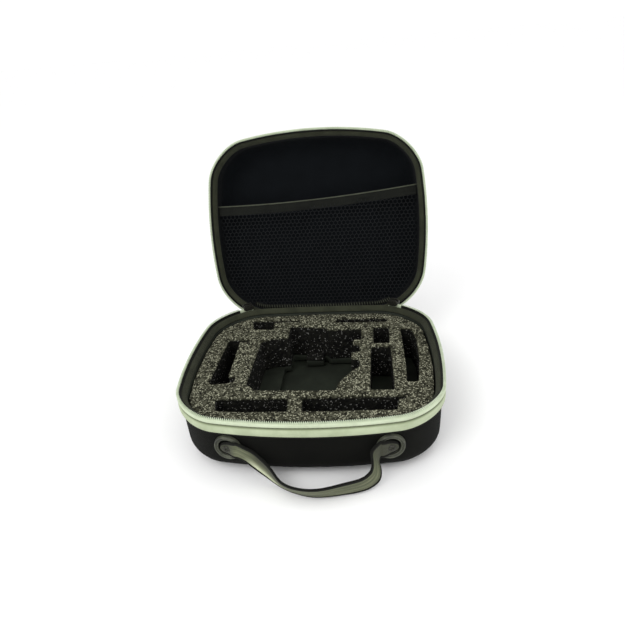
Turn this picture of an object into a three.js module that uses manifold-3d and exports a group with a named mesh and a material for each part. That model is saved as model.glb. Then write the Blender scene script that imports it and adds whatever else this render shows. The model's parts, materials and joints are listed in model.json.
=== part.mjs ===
// A small zippered carry case, standing open on its base.
// Two moulded foam-and-fabric shells share one rounded outline with bowed sides. A fabric gusset
// hinges them at the back, a coil zipper runs round the rest of the rim, the base holds a die-cut
// foam insert, the lid holds a net pocket, and a webbing handle is riveted to the front.
// Millimetres, +X right, +Y back, +Z up, origin at the centre of the base's underside.
import * as THREE from 'three';
import { mergeVertices } from 'three/addons/utils/BufferGeometryUtils.js';
import Module from 'manifold-3d';

const wasm = await Module();
wasm.setup();

// Driving dimensions.
const WIDTH = 172;              // across the inner edge of the zipper coil
const DEPTH = 147.6;            // front to back, on the same line
const FRONT_RADIUS = 23.8;      // corner radii
const BACK_RADIUS = 33.3;
const SIDE_BOW = 7.6;           // how far each edge bows out past a straight line
const FRONT_BOW = 10.3;
const BACK_BOW = 2.7;
const GAP = 0.3;                // running gap between touching pieces

const CLOSURE_Z = 45;           // plane where the two zipper coils meet
const BASE_RIM_Z = 38;          // top edge of the moulded base shell
const CASE_TOP_Z = 73;          // outside of the lid when closed
const LID_RIM_Z = 2 * CLOSURE_Z - BASE_RIM_Z;

const SHELL_THICKNESS = 3;
const LINING_THICKNESS = 0.7;
const SHELL_CORNER = 12;        // rounding between wall and floor
const RIM_INSET = 0.5;          // shell wall inside the coil line, at the rim
const WALL_DRAFT = 0.5;         // further inset at the foot of the wall

const TAPE_INNER = -0.2;        // zipper tape, measured outwards from the coil line
const TAPE_OUTER = 1.1;
const TAPE_LOW_Z = 33.5;
const TAPE_TOP_Z = 43.3;
const COIL_OUTER = 1.5;
const COIL_LOW_Z = 43.6;
const COIL_TOP_Z = CLOSURE_Z - GAP / 2;
const BINDING_INNER = -4.6;
const BINDING_HEIGHT = 2.7;

const FOAM_INSET = 5.5;
const FOAM_TOP_Z = 37;
const PAD_LOW_Z = 4.8;
const PAD_TOP_Z = 9.9;
const FRONT_TUCK = 5.2;         // how far the foot of the front wall leans in at its middle
const TUCK_HEIGHT = 13;

const HINGE_Y = 69.9;           // axis on which the gusset lets the lid turn
const HINGE_Z = 35.5;
const LID_OPEN = THREE.MathUtils.degToRad(102.5);
const GUSSET_HALF = 53.7;       // half the length of the gusset along the back
const GUSSET_ROOT_TOP_Z = 38;
const GUSSET_LID_LOW_Z = 42;
const BASE_TAPE_START = 54.3;   // distance from the middle of the back where each strip begins
const LID_TAPE_START = 63;
const COIL_START = 67;

const POCKET_Z = 54.5;          // height of the net pocket's panel with the lid closed
const POCKET_THICKNESS = 1;
const ELASTIC_WIDTH = 8;
const ELASTIC_THICKNESS = 2;
const ELASTIC_LEFT_Y = -20;     // free edge of the pocket at each side
const ELASTIC_RIGHT_Y = -30;

const HANDLE_X = { left: -47, right: 49.5 };
const HANDLE_Z = 22.8;
const RING_RADIUS = 8;
const RING_BORE = 5.4;
const RING_THICKNESS = 1.6;
const STRAP_WIDTH = 13;
const STRAP_THICKNESS = 2;
const STRAP_ROOT_X = { left: -40.2, right: 42.8 };
const RIVET_RADIUS = 1.5;
const RIVET_HOLE = 1.8;

const SLIDER_X = 58.5;          // where each slider is parked, either side of the hinge
const SLIDER_LENGTH = 8;
const SLIDER_HEIGHT = 4.8;
const PLATE_THICKNESS = 1.1;
const PIN_RADIUS = 0.7;
const PULL_LENGTH = 13;
const PULL_WIDTH = 4.4;

const finish = {
  shell: { color: 0x1b1c17, roughness: 0.85, metalness: 0 },
  lining: { color: 0x14171a, roughness: 0.9, metalness: 0 },
  foam: { color: 0x5c5c4c, roughness: 0.95, metalness: 0 },
  pad: { color: 0x20241e, roughness: 0.9, metalness: 0 },
  tape: { color: 0xdde6cd, roughness: 0.65, metalness: 0 },
  coil: { color: 0xe6eed8, roughness: 0.45, metalness: 0 },
  binding: { color: 0x3c3e30, roughness: 0.85, metalness: 0 },
  net: { color: 0x101316, roughness: 0.8, metalness: 0 },
  webbing: { color: 0x787864, roughness: 0.8, metalness: 0 },
  moulding: { color: 0x33342e, roughness: 0.6, metalness: 0 },
  metal: { color: 0x2b2b28, roughness: 0.4, metalness: 0.8 },
};

const carryCase = new THREE.Group();
const lidPivot = new THREE.Group();
const lid = new THREE.Group();
lidPivot.position.set(0, HINGE_Y, HINGE_Z);
lidPivot.rotation.x = -LID_OPEN;
lid.position.set(0, -HINGE_Y, -HINGE_Z);
lidPivot.add(lid);
carryCase.add(lidPivot);

function addPart(parent, name, geometry, look) {
  const mesh = new THREE.Mesh(geometry, new THREE.MeshStandardMaterial(look));
  mesh.name = name;
  parent.add(mesh);
  return mesh;
}

// The rim outline: a rounded rectangle whose four edges bow outwards. It starts at the middle of
// the back and goes clockwise as seen from above, through nine stretches numbered 0 to 8.
const HALF_W = WIDTH / 2 - SIDE_BOW;
const FRONT_Y = -DEPTH / 2 + FRONT_BOW;
const BACK_Y = DEPTH / 2 - BACK_BOW;
const MID_Y = (FRONT_Y + BACK_Y) / 2;
const HALF_D = (BACK_Y - FRONT_Y) / 2;
const RIM_END = 9;

function arcPoint(cx, cy, r, startAngle, share) {
  const angle = startAngle - share * Math.PI / 2;
  return [cx + r * Math.cos(angle), cy + r * Math.sin(angle)];
}

function straightPoint(x0, y0, x1, y1, share) {
  return [x0 + (x1 - x0) * share, y0 + (y1 - y0) * share];
}

function roundedRectPoint(t) {
  const stretch = Math.min(Math.floor(t), RIM_END - 1);
  const share = t - stretch;
  const xb = HALF_W - BACK_RADIUS;
  const xf = HALF_W - FRONT_RADIUS;
  const yb = BACK_Y - BACK_RADIUS;
  const yf = FRONT_Y + FRONT_RADIUS;
  switch (stretch) {
    case 0: return straightPoint(0, BACK_Y, xb, BACK_Y, share);
    case 1: return arcPoint(xb, yb, BACK_RADIUS, Math.PI / 2, share);
    case 2: return straightPoint(HALF_W, yb, HALF_W, yf, share);
    case 3: return arcPoint(xf, yf, FRONT_RADIUS, 0, share);
    case 4: return straightPoint(xf, FRONT_Y, -xf, FRONT_Y, share);
    case 5: return arcPoint(-xf, yf, FRONT_RADIUS, -Math.PI / 2, share);
    case 6: return straightPoint(-HALF_W, yf, -HALF_W, yb, share);
    case 7: return arcPoint(-xb, yb, BACK_RADIUS, Math.PI, share);
    default: return straightPoint(-xb, BACK_Y, 0, BACK_Y, share);
  }
}

function rimPoint(t) {
  const [x, y] = roundedRectPoint(t);
  const across = x / HALF_W;
  const along = (y - MID_Y) / HALF_D;
  const bow = along < 0 ? -FRONT_BOW : BACK_BOW;
  const bowedX = x + SIDE_BOW * across * (1 - along * along);
  const bowedY = y + bow * Math.abs(along) * (1 - across * across);
  return [bowedX, bowedY];
}

function rimStation(t) {
  const step = 0.01;
  const [x, y] = rimPoint(t);
  const [x0, y0] = rimPoint(Math.max(t - step, 0));
  const [x1, y1] = rimPoint(Math.min(t + step, RIM_END));
  const length = Math.hypot(x1 - x0, y1 - y0);
  return { x, y, nx: -(y1 - y0) / length, ny: (x1 - x0) / length };
}

// Stretches with the most curve get the most steps.
const RIM_STEPS = [3, 8, 5, 7, 8, 7, 5, 8, 3];

function rimStations(from, to) {
  const stations = [rimStation(from)];
  RIM_STEPS.forEach((steps, stretch) => {
    for (let i = 0; i < steps; i += 1) {
      const t = stretch + i / steps;
      if (t > from + 0.02 && t < to - 0.02) stations.push(rimStation(t));
    }
  });
  stations.push(rimStation(to));
  return stations;
}

// Where the outline passes a given distance right of the middle of the back.
function backParameter(distance) {
  let low = 0;
  let high = 2;
  for (let i = 0; i < 40; i += 1) {
    const middle = (low + high) / 2;
    if (rimPoint(middle)[0] < distance) low = middle;
    else high = middle;
  }
  return low;
}

// Where the front edge passes a given x.
function frontParameter(x) {
  let low = 4;
  let high = 5;
  for (let i = 0; i < 40; i += 1) {
    const middle = (low + high) / 2;
    if (rimPoint(middle)[0] > x) low = middle;
    else high = middle;
  }
  return low;
}

const FULL_RIM = rimStations(0, RIM_END).slice(0, -1);
const aroundFrom = (distance) => {
  const start = backParameter(distance);
  return rimStations(start, RIM_END - start);
};
const acrossBack = (distance) => {
  const end = backParameter(distance);
  const right = rimStations(0, end);
  const left = right.slice(1).reverse().map((s) => ({ x: -s.x, y: s.y, nx: -s.nx, ny: s.ny }));
  return [...left, ...right];
};

function closedGeometry(positions, indices) {
  let volume = 0;
  const at = (i) => new THREE.Vector3().fromArray(positions, 3 * i);
  for (let i = 0; i < indices.length; i += 3) {
    const cross = at(indices[i + 1]).cross(at(indices[i + 2]));
    volume += at(indices[i]).dot(cross);
  }
  if (volume < 0) {
    for (let i = 0; i < indices.length; i += 3) {
      [indices[i + 1], indices[i + 2]] = [indices[i + 2], indices[i + 1]];
    }
  }
  const geometry = new THREE.BufferGeometry();
  geometry.setAttribute('position', new THREE.Float32BufferAttribute(positions, 3));
  geometry.setIndex(indices);
  return geometry;
}

function stationVertices(stations, profile) {
  return stations.flatMap((s) => profile.flatMap(([out, z]) => [s.x + s.nx * out, s.y + s.ny * out, z]));
}

function wallIndices(rows, columns, closeRows, closeColumns) {
  const indices = [];
  const lastRow = closeRows ? rows : rows - 1;
  const lastColumn = closeColumns ? columns : columns - 1;
  for (let i = 0; i < lastRow; i += 1) {
    for (let j = 0; j < lastColumn; j += 1) {
      const a = i * columns + j;
      const b = i * columns + (j + 1) % columns;
      const c = ((i + 1) % rows) * columns + j;
      const d = ((i + 1) % rows) * columns + (j + 1) % columns;
      indices.push(a, c, b, b, c, d);
    }
  }
  return indices;
}

// A strip with a closed section [outwards, z], swept along the rim and capped where it ends.
function rimStrip(stations, section, closed = false) {
  const count = section.length;
  const indices = wallIndices(stations.length, count, closed, true);
  if (!closed) {
    const contour = section.map(([out, z]) => new THREE.Vector2(out, z));
    const clockwise = THREE.ShapeUtils.isClockWise(contour);
    const last = (stations.length - 1) * count;
    THREE.ShapeUtils.triangulateShape(contour, []).forEach((corners) => {
      const [a, b, c] = clockwise ? corners.reverse() : corners;
      indices.push(a, b, c);
      indices.push(last + a, last + c, last + b);
    });
  }
  const geometry = closedGeometry(stationVertices(stations, section), indices);
  return geometry;
}

// A bowl or slab: rings of [outwards, z] joined up, with its first and last rings filled in.
function rimBowl(profile) {
  const rows = FULL_RIM.length;
  const columns = profile.length;
  const positions = stationVertices(FULL_RIM, profile);
  const indices = wallIndices(rows, columns, true, false);
  const firstCentre = positions.length / 3;
  positions.push(0, MID_Y, profile[0][1]);
  positions.push(0, MID_Y, profile[columns - 1][1]);
  for (let i = 0; i < rows; i += 1) {
    const next = (i + 1) % rows;
    indices.push(firstCentre, next * columns, i * columns);
    indices.push(firstCentre + 1, i * columns + columns - 1, next * columns + columns - 1);
  }
  return closedGeometry(positions, indices);
}

// The curved face of a shell at a depth below its outer skin, from the floor up to the rim.
function shellFace(inset, rimZ, steps = 4) {
  const centreOut = -(RIM_INSET + WALL_DRAFT + SHELL_CORNER);
  const radius = SHELL_CORNER - inset;
  const face = [];
  for (let i = 0; i <= steps; i += 1) {
    const angle = -Math.PI / 2 + (Math.PI / 2) * i / steps;
    face.push([centreOut + radius * Math.cos(angle), SHELL_CORNER + radius * Math.sin(angle)]);
  }
  face.push([-RIM_INSET - inset, rimZ]);
  return face;
}

const bowlSection = (outer, inner, rimZ) => [...shellFace(outer, rimZ), ...shellFace(inner, rimZ).reverse()];
const turnedOver = (section, total) => section.map(([out, z]) => [out, total - z]);

function toSolid(geometry) {
  const bare = geometry.clone();
  bare.deleteAttribute('normal');
  bare.deleteAttribute('uv');
  const merged = mergeVertices(bare, 1e-4);
  const vertProperties = new Float32Array(merged.attributes.position.array);
  const triVerts = new Uint32Array(merged.index.array);
  return new wasm.Manifold(new wasm.Mesh({ numProp: 3, vertProperties, triVerts }));
}

function toGeometry(solid) {
  const mesh = solid.getMesh();
  const geometry = new THREE.BufferGeometry();
  geometry.setAttribute('position', new THREE.BufferAttribute(new Float32Array(mesh.vertProperties), 3));
  geometry.setIndex(new THREE.BufferAttribute(new Uint32Array(mesh.triVerts), 1));
  return geometry;
}

const subtractAll = (solid, tools) => tools.reduce((left, tool) => left.subtract(toSolid(tool)), solid);
const cut = (geometry, tools) => toGeometry(subtractAll(toSolid(geometry), tools));
const join = (geometries) => toGeometry(geometries.map(toSolid).reduce((a, b) => a.add(b)));
const movedBy = (geometry, x, y, z) => geometry.translate(x, y, z);

function extruded(points, depth, holes = []) {
  const shape = new THREE.Shape(points.map(([x, y]) => new THREE.Vector2(x, y)));
  holes.forEach((hole) => shape.holes.push(new THREE.Path(hole.map(([x, y]) => new THREE.Vector2(x, y)))));
  return new THREE.ExtrudeGeometry(shape, { depth, bevelEnabled: false });
}

// Handle fittings sit on the front wall, with their own +Z pointing out of it.
function frontPlace(side) {
  const station = rimStation(frontParameter(HANDLE_X[side]));
  const outward = new THREE.Vector3(station.nx, station.ny, 0);
  const up = new THREE.Vector3(0, 0, 1);
  const across = new THREE.Vector3().crossVectors(up, outward);
  const matrix = new THREE.Matrix4().makeBasis(across, up, outward);
  matrix.setPosition(station.x, station.y, HANDLE_Z);
  return matrix;
}

function rivetHole(side, fromOut, toOut) {
  const hole = new THREE.CylinderGeometry(RIVET_HOLE, RIVET_HOLE, toOut - fromOut, 16);
  hole.rotateX(Math.PI / 2).translate(0, 0, (fromOut + toOut) / 2);
  return hole.applyMatrix4(frontPlace(side));
}

const SIDES = ['left', 'right'];
const holesThroughWall = () => SIDES.map((side) => rivetHole(side, -9, 4));

// Leans the low part of the front wall in, so that the base stands on a straighter front edge.
function tuckFront(geometry) {
  const place = geometry.attributes.position;
  for (let i = 0; i < place.count; i += 1) {
    const ahead = Math.max(0, (MID_Y - place.getY(i)) / HALF_D);
    const low = Math.max(0, 1 - place.getZ(i) / TUCK_HEIGHT);
    const middle = Math.max(0, 1 - (place.getX(i) / HALF_W) ** 4);
    place.setY(i, place.getY(i) + FRONT_TUCK * ahead * low ** 2 * middle);
  }
  geometry.computeVertexNormals();
  return geometry;
}

// Shells and linings.
const baseShell = tuckFront(rimBowl(bowlSection(0, SHELL_THICKNESS, BASE_RIM_Z)));
const liningDepth = SHELL_THICKNESS + GAP;
const baseLiningSection = bowlSection(liningDepth, liningDepth + LINING_THICKNESS, BASE_RIM_Z);
const baseLining = tuckFront(rimBowl(baseLiningSection));
addPart(carryCase, 'base_shell', cut(baseShell, holesThroughWall()), finish.shell);
addPart(carryCase, 'base_lining', cut(baseLining, holesThroughWall()), finish.lining);

const lidHeight = CASE_TOP_Z - LID_RIM_Z;
const lidShell = rimBowl(turnedOver(bowlSection(0, SHELL_THICKNESS, lidHeight), CASE_TOP_Z));
const lidLiningSection = bowlSection(liningDepth, liningDepth + LINING_THICKNESS, lidHeight);
addPart(lid, 'lid_shell', lidShell, finish.shell);
addPart(lid, 'lid_lining', rimBowl(turnedOver(lidLiningSection, CASE_TOP_Z)), finish.lining);

// The binding that covers each shell's raw edge.
const bindingSection = [
  [-RIM_INSET, BASE_RIM_Z + GAP],
  [-RIM_INSET, BASE_RIM_Z + GAP + BINDING_HEIGHT - 0.9],
  [-RIM_INSET - 1.1, BASE_RIM_Z + GAP + BINDING_HEIGHT],
  [BINDING_INNER + 1.1, BASE_RIM_Z + GAP + BINDING_HEIGHT],
  [BINDING_INNER, BASE_RIM_Z + GAP + BINDING_HEIGHT - 0.9],
  [BINDING_INNER, BASE_RIM_Z + GAP],
];
addPart(carryCase, 'base_rim_binding', rimStrip(FULL_RIM, bindingSection, true), finish.binding);
const lidBindingSection = turnedOver(bindingSection, 2 * CLOSURE_Z);
addPart(lid, 'lid_rim_binding', rimStrip(FULL_RIM, lidBindingSection, true), finish.binding);

// The zipper: a tape sewn round each rim, and a coil along its free edge.
const tapeMiddleZ = (TAPE_LOW_Z + TAPE_TOP_Z) / 2;
const tapeSection = [
  [TAPE_INNER, TAPE_LOW_Z],
  [TAPE_OUTER - 0.5, TAPE_LOW_Z],
  [TAPE_OUTER, (TAPE_LOW_Z + tapeMiddleZ) / 2],
  [TAPE_OUTER - 0.4, tapeMiddleZ],
  [TAPE_OUTER, (TAPE_TOP_Z + tapeMiddleZ) / 2],
  [TAPE_OUTER - 0.3, TAPE_TOP_Z],
  [TAPE_INNER, TAPE_TOP_Z],
];
const coilSection = [
  [0, COIL_LOW_Z],
  [COIL_OUTER, COIL_LOW_Z],
  [COIL_OUTER, COIL_TOP_Z - 0.4],
  [COIL_OUTER - 0.4, COIL_TOP_Z],
  [0, COIL_TOP_Z],
];
addPart(carryCase, 'base_zip_tape', rimStrip(aroundFrom(BASE_TAPE_START), tapeSection), finish.tape);
addPart(carryCase, 'base_zip_coil', rimStrip(aroundFrom(COIL_START), coilSection), finish.coil);
const lidTapeSection = turnedOver(tapeSection, 2 * CLOSURE_Z);
const lidCoilSection = turnedOver(coilSection, 2 * CLOSURE_Z);
addPart(lid, 'lid_zip_tape', rimStrip(aroundFrom(LID_TAPE_START), lidTapeSection), finish.tape);
addPart(lid, 'lid_zip_coil', rimStrip(aroundFrom(COIL_START), lidCoilSection), finish.coil);

// The fabric hinge, in two parts: one sewn to the base, and the flap that turns with the lid.
const gussetSection = (lowZ, highZ) => [
  [TAPE_INNER, lowZ],
  [TAPE_OUTER, lowZ],
  [TAPE_OUTER, highZ],
  [TAPE_INNER, highZ],
];
const gussetStations = acrossBack(GUSSET_HALF);
const rootSection = gussetSection(TAPE_LOW_Z - 2, GUSSET_ROOT_TOP_Z);
const flapSection = gussetSection(GUSSET_LID_LOW_Z, 2 * CLOSURE_Z - TAPE_LOW_Z + 2);
addPart(carryCase, 'hinge_gusset_root', rimStrip(gussetStations, rootSection), finish.binding);
addPart(lid, 'hinge_gusset', rimStrip(gussetStations, flapSection), finish.binding);

// The foam insert, with a through cut for each thing it holds, on a base pad. The pad is cut through
// too under the camera's pocket, so that it stands on the lining, with a low ledge left behind it.
const pocketOutlines = {
  camera: [
    [-22, 51], [5, 48], [8, 43.5], [33, 45], [33, 28], [27, 27], [27, 21.5], [32, 21],
    [32, 11], [26, 10], [26, 3], [32, 1.5], [32, -8], [28, -11], [18, -26], [17, -34],
    [-35, -33], [-43, -26], [-42, 29], [-34, 33], [-22, 34],
  ],
  leftSlot: [
    [-67.5, 33], [-51, 32], [-51, 28.5], [-58, 28], [-57, -16], [-51.5, -17],
    [-51.5, -22.5], [-55, -24.5], [-67, -26], [-69, -22],
  ],
  backLeft: [[-54, 61.5], [-16, 60.5], [-16, 57], [-36, 57], [-35, 46], [-51, 47]],
  backRight: [[13, 61.5], [53, 60], [53, 53.5], [13, 54.5]],
  smallSquare: [[42, 46], [54, 46], [53.5, 22], [42, 22]],
  rightBlock: [[40, 18.5], [54, 17.5], [54, -34], [38.5, -34]],
  rightSlot: [
    [62, 43], [70.5, 42], [73, 27], [72.5, 0], [69.5, -26], [62, -26], [63, -6], [62.5, 35],
  ],
  frontLeft: [[-60, -41], [-13, -41], [-12, -55], [-47, -54.5], [-57, -53.5]],
  frontRight: [
    [-4, -41], [60.5, -40], [60, -43.5], [55.5, -44], [54.5, -54], [-3, -55],
  ],
};
// The camera's well goes on down through the pad, all but a ledge at its back and a shallow left end.
const WELL = [
  [-22, 49.5], [5, 48], [8, 43.5], [32, 44], [32, 28], [25, 26], [25, 3], [31, -8], [28, -11],
  [18, -26], [17, -34], [-27, -33.3], [-27, 33.3], [-22, 34],
];
const LEDGE = [[-11, 41.2], [3, 40.6], [3, 56], [-11, 56]];
const LEDGE_TOP_Z = 12;
const RIVET_RECESS_RADIUS = 6;
const RIVET_RECESS_DEPTH = 1.7;

function foamRecess(side) {
  const reach = RIVET_RECESS_DEPTH + 2;
  const tool = new THREE.CylinderGeometry(RIVET_RECESS_RADIUS, RIVET_RECESS_RADIUS, reach, 16);
  tool.rotateX(Math.PI / 2).translate(0, 0, reach / 2 - FOAM_INSET - RIVET_RECESS_DEPTH);
  return tool.applyMatrix4(frontPlace(side));
}

const foamOutline = FULL_RIM.map((s) => [s.x - s.nx * FOAM_INSET, s.y - s.ny * FOAM_INSET]).reverse();
const foamLowZ = PAD_TOP_Z + GAP;
const foamBlock = tuckFront(movedBy(extruded(foamOutline, FOAM_TOP_Z - foamLowZ), 0, 0, foamLowZ));
const pocketTools = Object.values(pocketOutlines).map((outline) => extruded(outline, 2 * FOAM_TOP_Z));
pocketTools[0] = cut(pocketTools[0], [extruded(LEDGE, LEDGE_TOP_Z)]);
const foamInsert = cut(foamBlock, [...pocketTools, ...SIDES.map(foamRecess)]);
addPart(carryCase, 'foam_insert', foamInsert, finish.foam);
const padSection = [[-2 * FOAM_INSET, PAD_LOW_Z], [-FOAM_INSET - GAP, PAD_TOP_Z]];
const padHole = cut(extruded(WELL, FOAM_TOP_Z), [extruded(LEDGE, FOAM_TOP_Z)]);
addPart(carryCase, 'foam_base_pad', cut(tuckFront(rimBowl(padSection)), [padHole]), finish.pad);

// The net pocket in the lid: a panel from the hinge side to a slanting free edge, and its elastic.
const elasticSlope = (ELASTIC_RIGHT_Y - ELASTIC_LEFT_Y) / WIDTH;
const elasticMiddleY = (ELASTIC_RIGHT_Y + ELASTIC_LEFT_Y) / 2;
const POCKET_INSET = 5;

const pocketRim = FULL_RIM.map((s) => [s.x - s.nx * POCKET_INSET, s.y - s.ny * POCKET_INSET]);
const rightRim = pocketRim.slice(0, Math.ceil(pocketRim.length / 2));
const leftRim = pocketRim.slice(rightRim.length);

function pocketHalfWidth(y) {
  const next = rightRim.findIndex(([, rimY], i) => i > 0 && rimY < y);
  const [x0, y0] = rightRim[next - 1];
  const [x1, y1] = rightRim[next];
  return x0 + (x1 - x0) * (y - y0) / (y1 - y0);
}

function elasticEdge(offset) {
  const leftX = -pocketHalfWidth(ELASTIC_LEFT_Y + offset);
  const rightX = pocketHalfWidth(ELASTIC_RIGHT_Y + offset);
  const edgeY = (x) => elasticMiddleY + elasticSlope * x + offset;
  return [[leftX, edgeY(leftX)], [rightX, edgeY(rightX)]];
}

function pocketPanel() {
  const [left, right] = elasticEdge(ELASTIC_WIDTH + GAP);
  const behind = (edge) => ([, y]) => y > edge[1] + 1;
  const outline = [...rightRim.filter(behind(right)), right, left, ...leftRim.filter(behind(left))];
  return extruded(outline.reverse(), POCKET_THICKNESS);
}

const [elasticTopLeft, elasticTopRight] = elasticEdge(0);
const [elasticLowLeft, elasticLowRight] = elasticEdge(ELASTIC_WIDTH);
const elasticOutline = [elasticTopLeft, elasticTopRight, elasticLowRight, elasticLowLeft];
const pocketElastic = extruded(elasticOutline, ELASTIC_THICKNESS);
const elasticZ = POCKET_Z - (ELASTIC_THICKNESS - POCKET_THICKNESS) / 2;
addPart(lid, 'mesh_pocket', movedBy(pocketPanel(), 0, 0, POCKET_Z), finish.net);
addPart(lid, 'pocket_elastic', movedBy(pocketElastic, 0, 0, elasticZ), finish.binding);

// The handle's fittings: a raised ring, the strap's flat end over it, a rivet and its washer.
const RING_LOW = -0.5;
const END_LOW = RING_LOW + RING_THICKNESS + GAP;
const END_TOP = END_LOW + STRAP_THICKNESS;
const HEAD_LOW = END_TOP + GAP;
const HEAD_RADIUS = 3;
const WASHER_TOP = -5.1;
const WASHER_THICKNESS = 0.8;
const WASHER_RADIUS = 4.5;
const TAIL_RADIUS = 2.4;

function ringGeometry() {
  const top = RING_LOW + RING_THICKNESS;
  const section = [
    [RING_BORE, RING_LOW], [RING_RADIUS, RING_LOW], [RING_RADIUS, top - 0.6],
    [RING_RADIUS - 0.8, top], [RING_BORE + 0.5, top], [RING_BORE, top - 0.4], [RING_BORE, RING_LOW],
  ];
  const ring = new THREE.LatheGeometry(section.map(([r, h]) => new THREE.Vector2(r, h)), 24);
  return ring.rotateX(Math.PI / 2);
}

function strapEnd(side) {
  const inward = side === 'left' ? 1 : -1;
  const reach = Math.abs(STRAP_ROOT_X[side] - HANDLE_X[side]) - 0.4;
  const round = STRAP_WIDTH / 2 - 0.5;
  const outline = [[inward * reach, -round], [inward * reach, round]];
  for (let i = 0; i <= 10; i += 1) {
    const angle = Math.PI / 2 + Math.PI * i / 10;
    outline.push([inward * round * Math.cos(angle), round * Math.sin(angle)]);
  }
  const hole = [];
  for (let i = 0; i < 16; i += 1) {
    const angle = 2 * Math.PI * i / 16;
    hole.push([RIVET_HOLE * Math.cos(angle), RIVET_HOLE * Math.sin(angle)]);
  }
  return movedBy(extruded(outline, STRAP_THICKNESS, [hole]), 0, 0, END_LOW);
}

function rivet() {
  const tailLow = WASHER_TOP - WASHER_THICKNESS - GAP - 0.5;
  const section = [
    [0, tailLow], [TAIL_RADIUS, tailLow], [TAIL_RADIUS, tailLow + 0.5], [RIVET_RADIUS, tailLow + 0.5],
    [RIVET_RADIUS, HEAD_LOW], [HEAD_RADIUS, HEAD_LOW], [HEAD_RADIUS, HEAD_LOW + 0.5],
    [HEAD_RADIUS * 0.6, HEAD_LOW + 1.1], [0, HEAD_LOW + 1.3],
  ];
  return new THREE.LatheGeometry(section.map(([r, h]) => new THREE.Vector2(r, h)), 20).rotateX(Math.PI / 2);
}

function washer() {
  const low = WASHER_TOP - WASHER_THICKNESS;
  const section = [
    [RIVET_HOLE, low], [WASHER_RADIUS, low], [WASHER_RADIUS, WASHER_TOP], [RIVET_HOLE, WASHER_TOP],
    [RIVET_HOLE, low],
  ];
  return new THREE.LatheGeometry(section.map(([r, h]) => new THREE.Vector2(r, h)), 20).rotateX(Math.PI / 2);
}

SIDES.forEach((side) => {
  const place = frontPlace(side);
  const pieces = [
    [`handle_ring_${side}`, ringGeometry(), finish.moulding],
    [`strap_end_${side}`, strapEnd(side), finish.webbing],
    [`handle_rivet_${side}`, rivet(), finish.metal],
    [`rivet_washer_${side}`, washer(), finish.metal],
  ];
  pieces.forEach(([name, geometry, look]) => {
    addPart(carryCase, name, geometry, look).applyMatrix4(place);
  });
});

// The loose loop of the strap, drawn as its lower and upper edges from the left end to the right.
const lowerEdge = [
  [-39.8, -73.4, 21.8], [-37, -74.6, 18.2], [-33, -75.6, 12.8], [-25, -76.8, 5.6], [-15, -81.2, 1.6],
  [-4, -86, 1.2], [7, -88, 1.1], [22, -86, 1.1], [33, -83.2, 1.1], [39.5, -80.2, 2.2],
  [42.8, -77.4, 4.8], [43.2, -75.2, 10], [42.6, -74.2, 16.5], [42.4, -73.4, 21.8],
];
const upperEdge = [
  [-39.8, -73.4, 24], [-36, -75.4, 24.6], [-30.4, -75.6, 23.4], [-21.6, -79.8, 17], [-13.8, -87.6, 12.3],
  [-3.9, -92.3, 12.1], [8, -92.4, 12.8], [22, -88.6, 13.6], [31.8, -84.8, 13.6], [36.8, -81.6, 14.8],
  [38.3, -79, 16.6], [38.4, -77.4, 20.6], [39.2, -75.4, 24], [42.4, -73.4, 24],
];

function strapLoop() {
  const curve = (points) => new THREE.CatmullRomCurve3(points.map((p) => new THREE.Vector3(...p)));
  const low = curve(lowerEdge);
  const high = curve(upperEdge);
  const steps = 3 * (lowerEdge.length - 1);
  const positions = [];
  for (let i = 0; i <= steps; i += 1) {
    const a = low.getPoint(i / steps);
    const b = high.getPoint(i / steps);
    const along = low.getTangent(i / steps).add(high.getTangent(i / steps));
    const side = new THREE.Vector3().subVectors(b, a).cross(along).setLength(STRAP_THICKNESS / 2);
    [a.clone().add(side), b.clone().add(side), b.clone().sub(side), a.clone().sub(side)]
      .forEach((corner) => positions.push(...corner.toArray()));
  }
  const indices = wallIndices(steps + 1, 4, false, true);
  const last = 4 * steps;
  indices.push(0, 1, 2, 0, 2, 3, last, last + 2, last + 1, last, last + 3, last + 2);
  return closedGeometry(positions, indices);
}
addPart(carryCase, 'handle_strap', strapLoop(), finish.webbing);

// Zipper sliders, parked beside the gusset, and their hanging pulls. Each is drawn with X along the
// zipper, Y outwards and Z up from the closure plane.
const INNER_PLATE_Y = -1.7;
const OUTER_PLATE_Y = 1.9;
const PIN_Y = OUTER_PLATE_Y + PLATE_THICKNESS + 2.1;
const PIN_Z = -1.2;
const LUG_X = 2.9;
const LUG_THICKNESS = 0.9;
const PULL_BORE = PIN_RADIUS + 0.35;
const SLEEVE_RADIUS = 1.75;

function sliderPlate(y) {
  const half = SLIDER_LENGTH / 2;
  const tall = SLIDER_HEIGHT / 2;
  const outline = [
    [-half, -tall + 1.3], [-half + 1.4, -tall], [half - 1.4, -tall], [half, -tall + 1.3],
    [half, tall - 1.3], [half - 1.4, tall], [-half + 1.4, tall], [-half, tall - 1.3],
  ];
  return extruded(outline, PLATE_THICKNESS).rotateX(Math.PI / 2).translate(0, y + PLATE_THICKNESS, 0);
}

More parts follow.
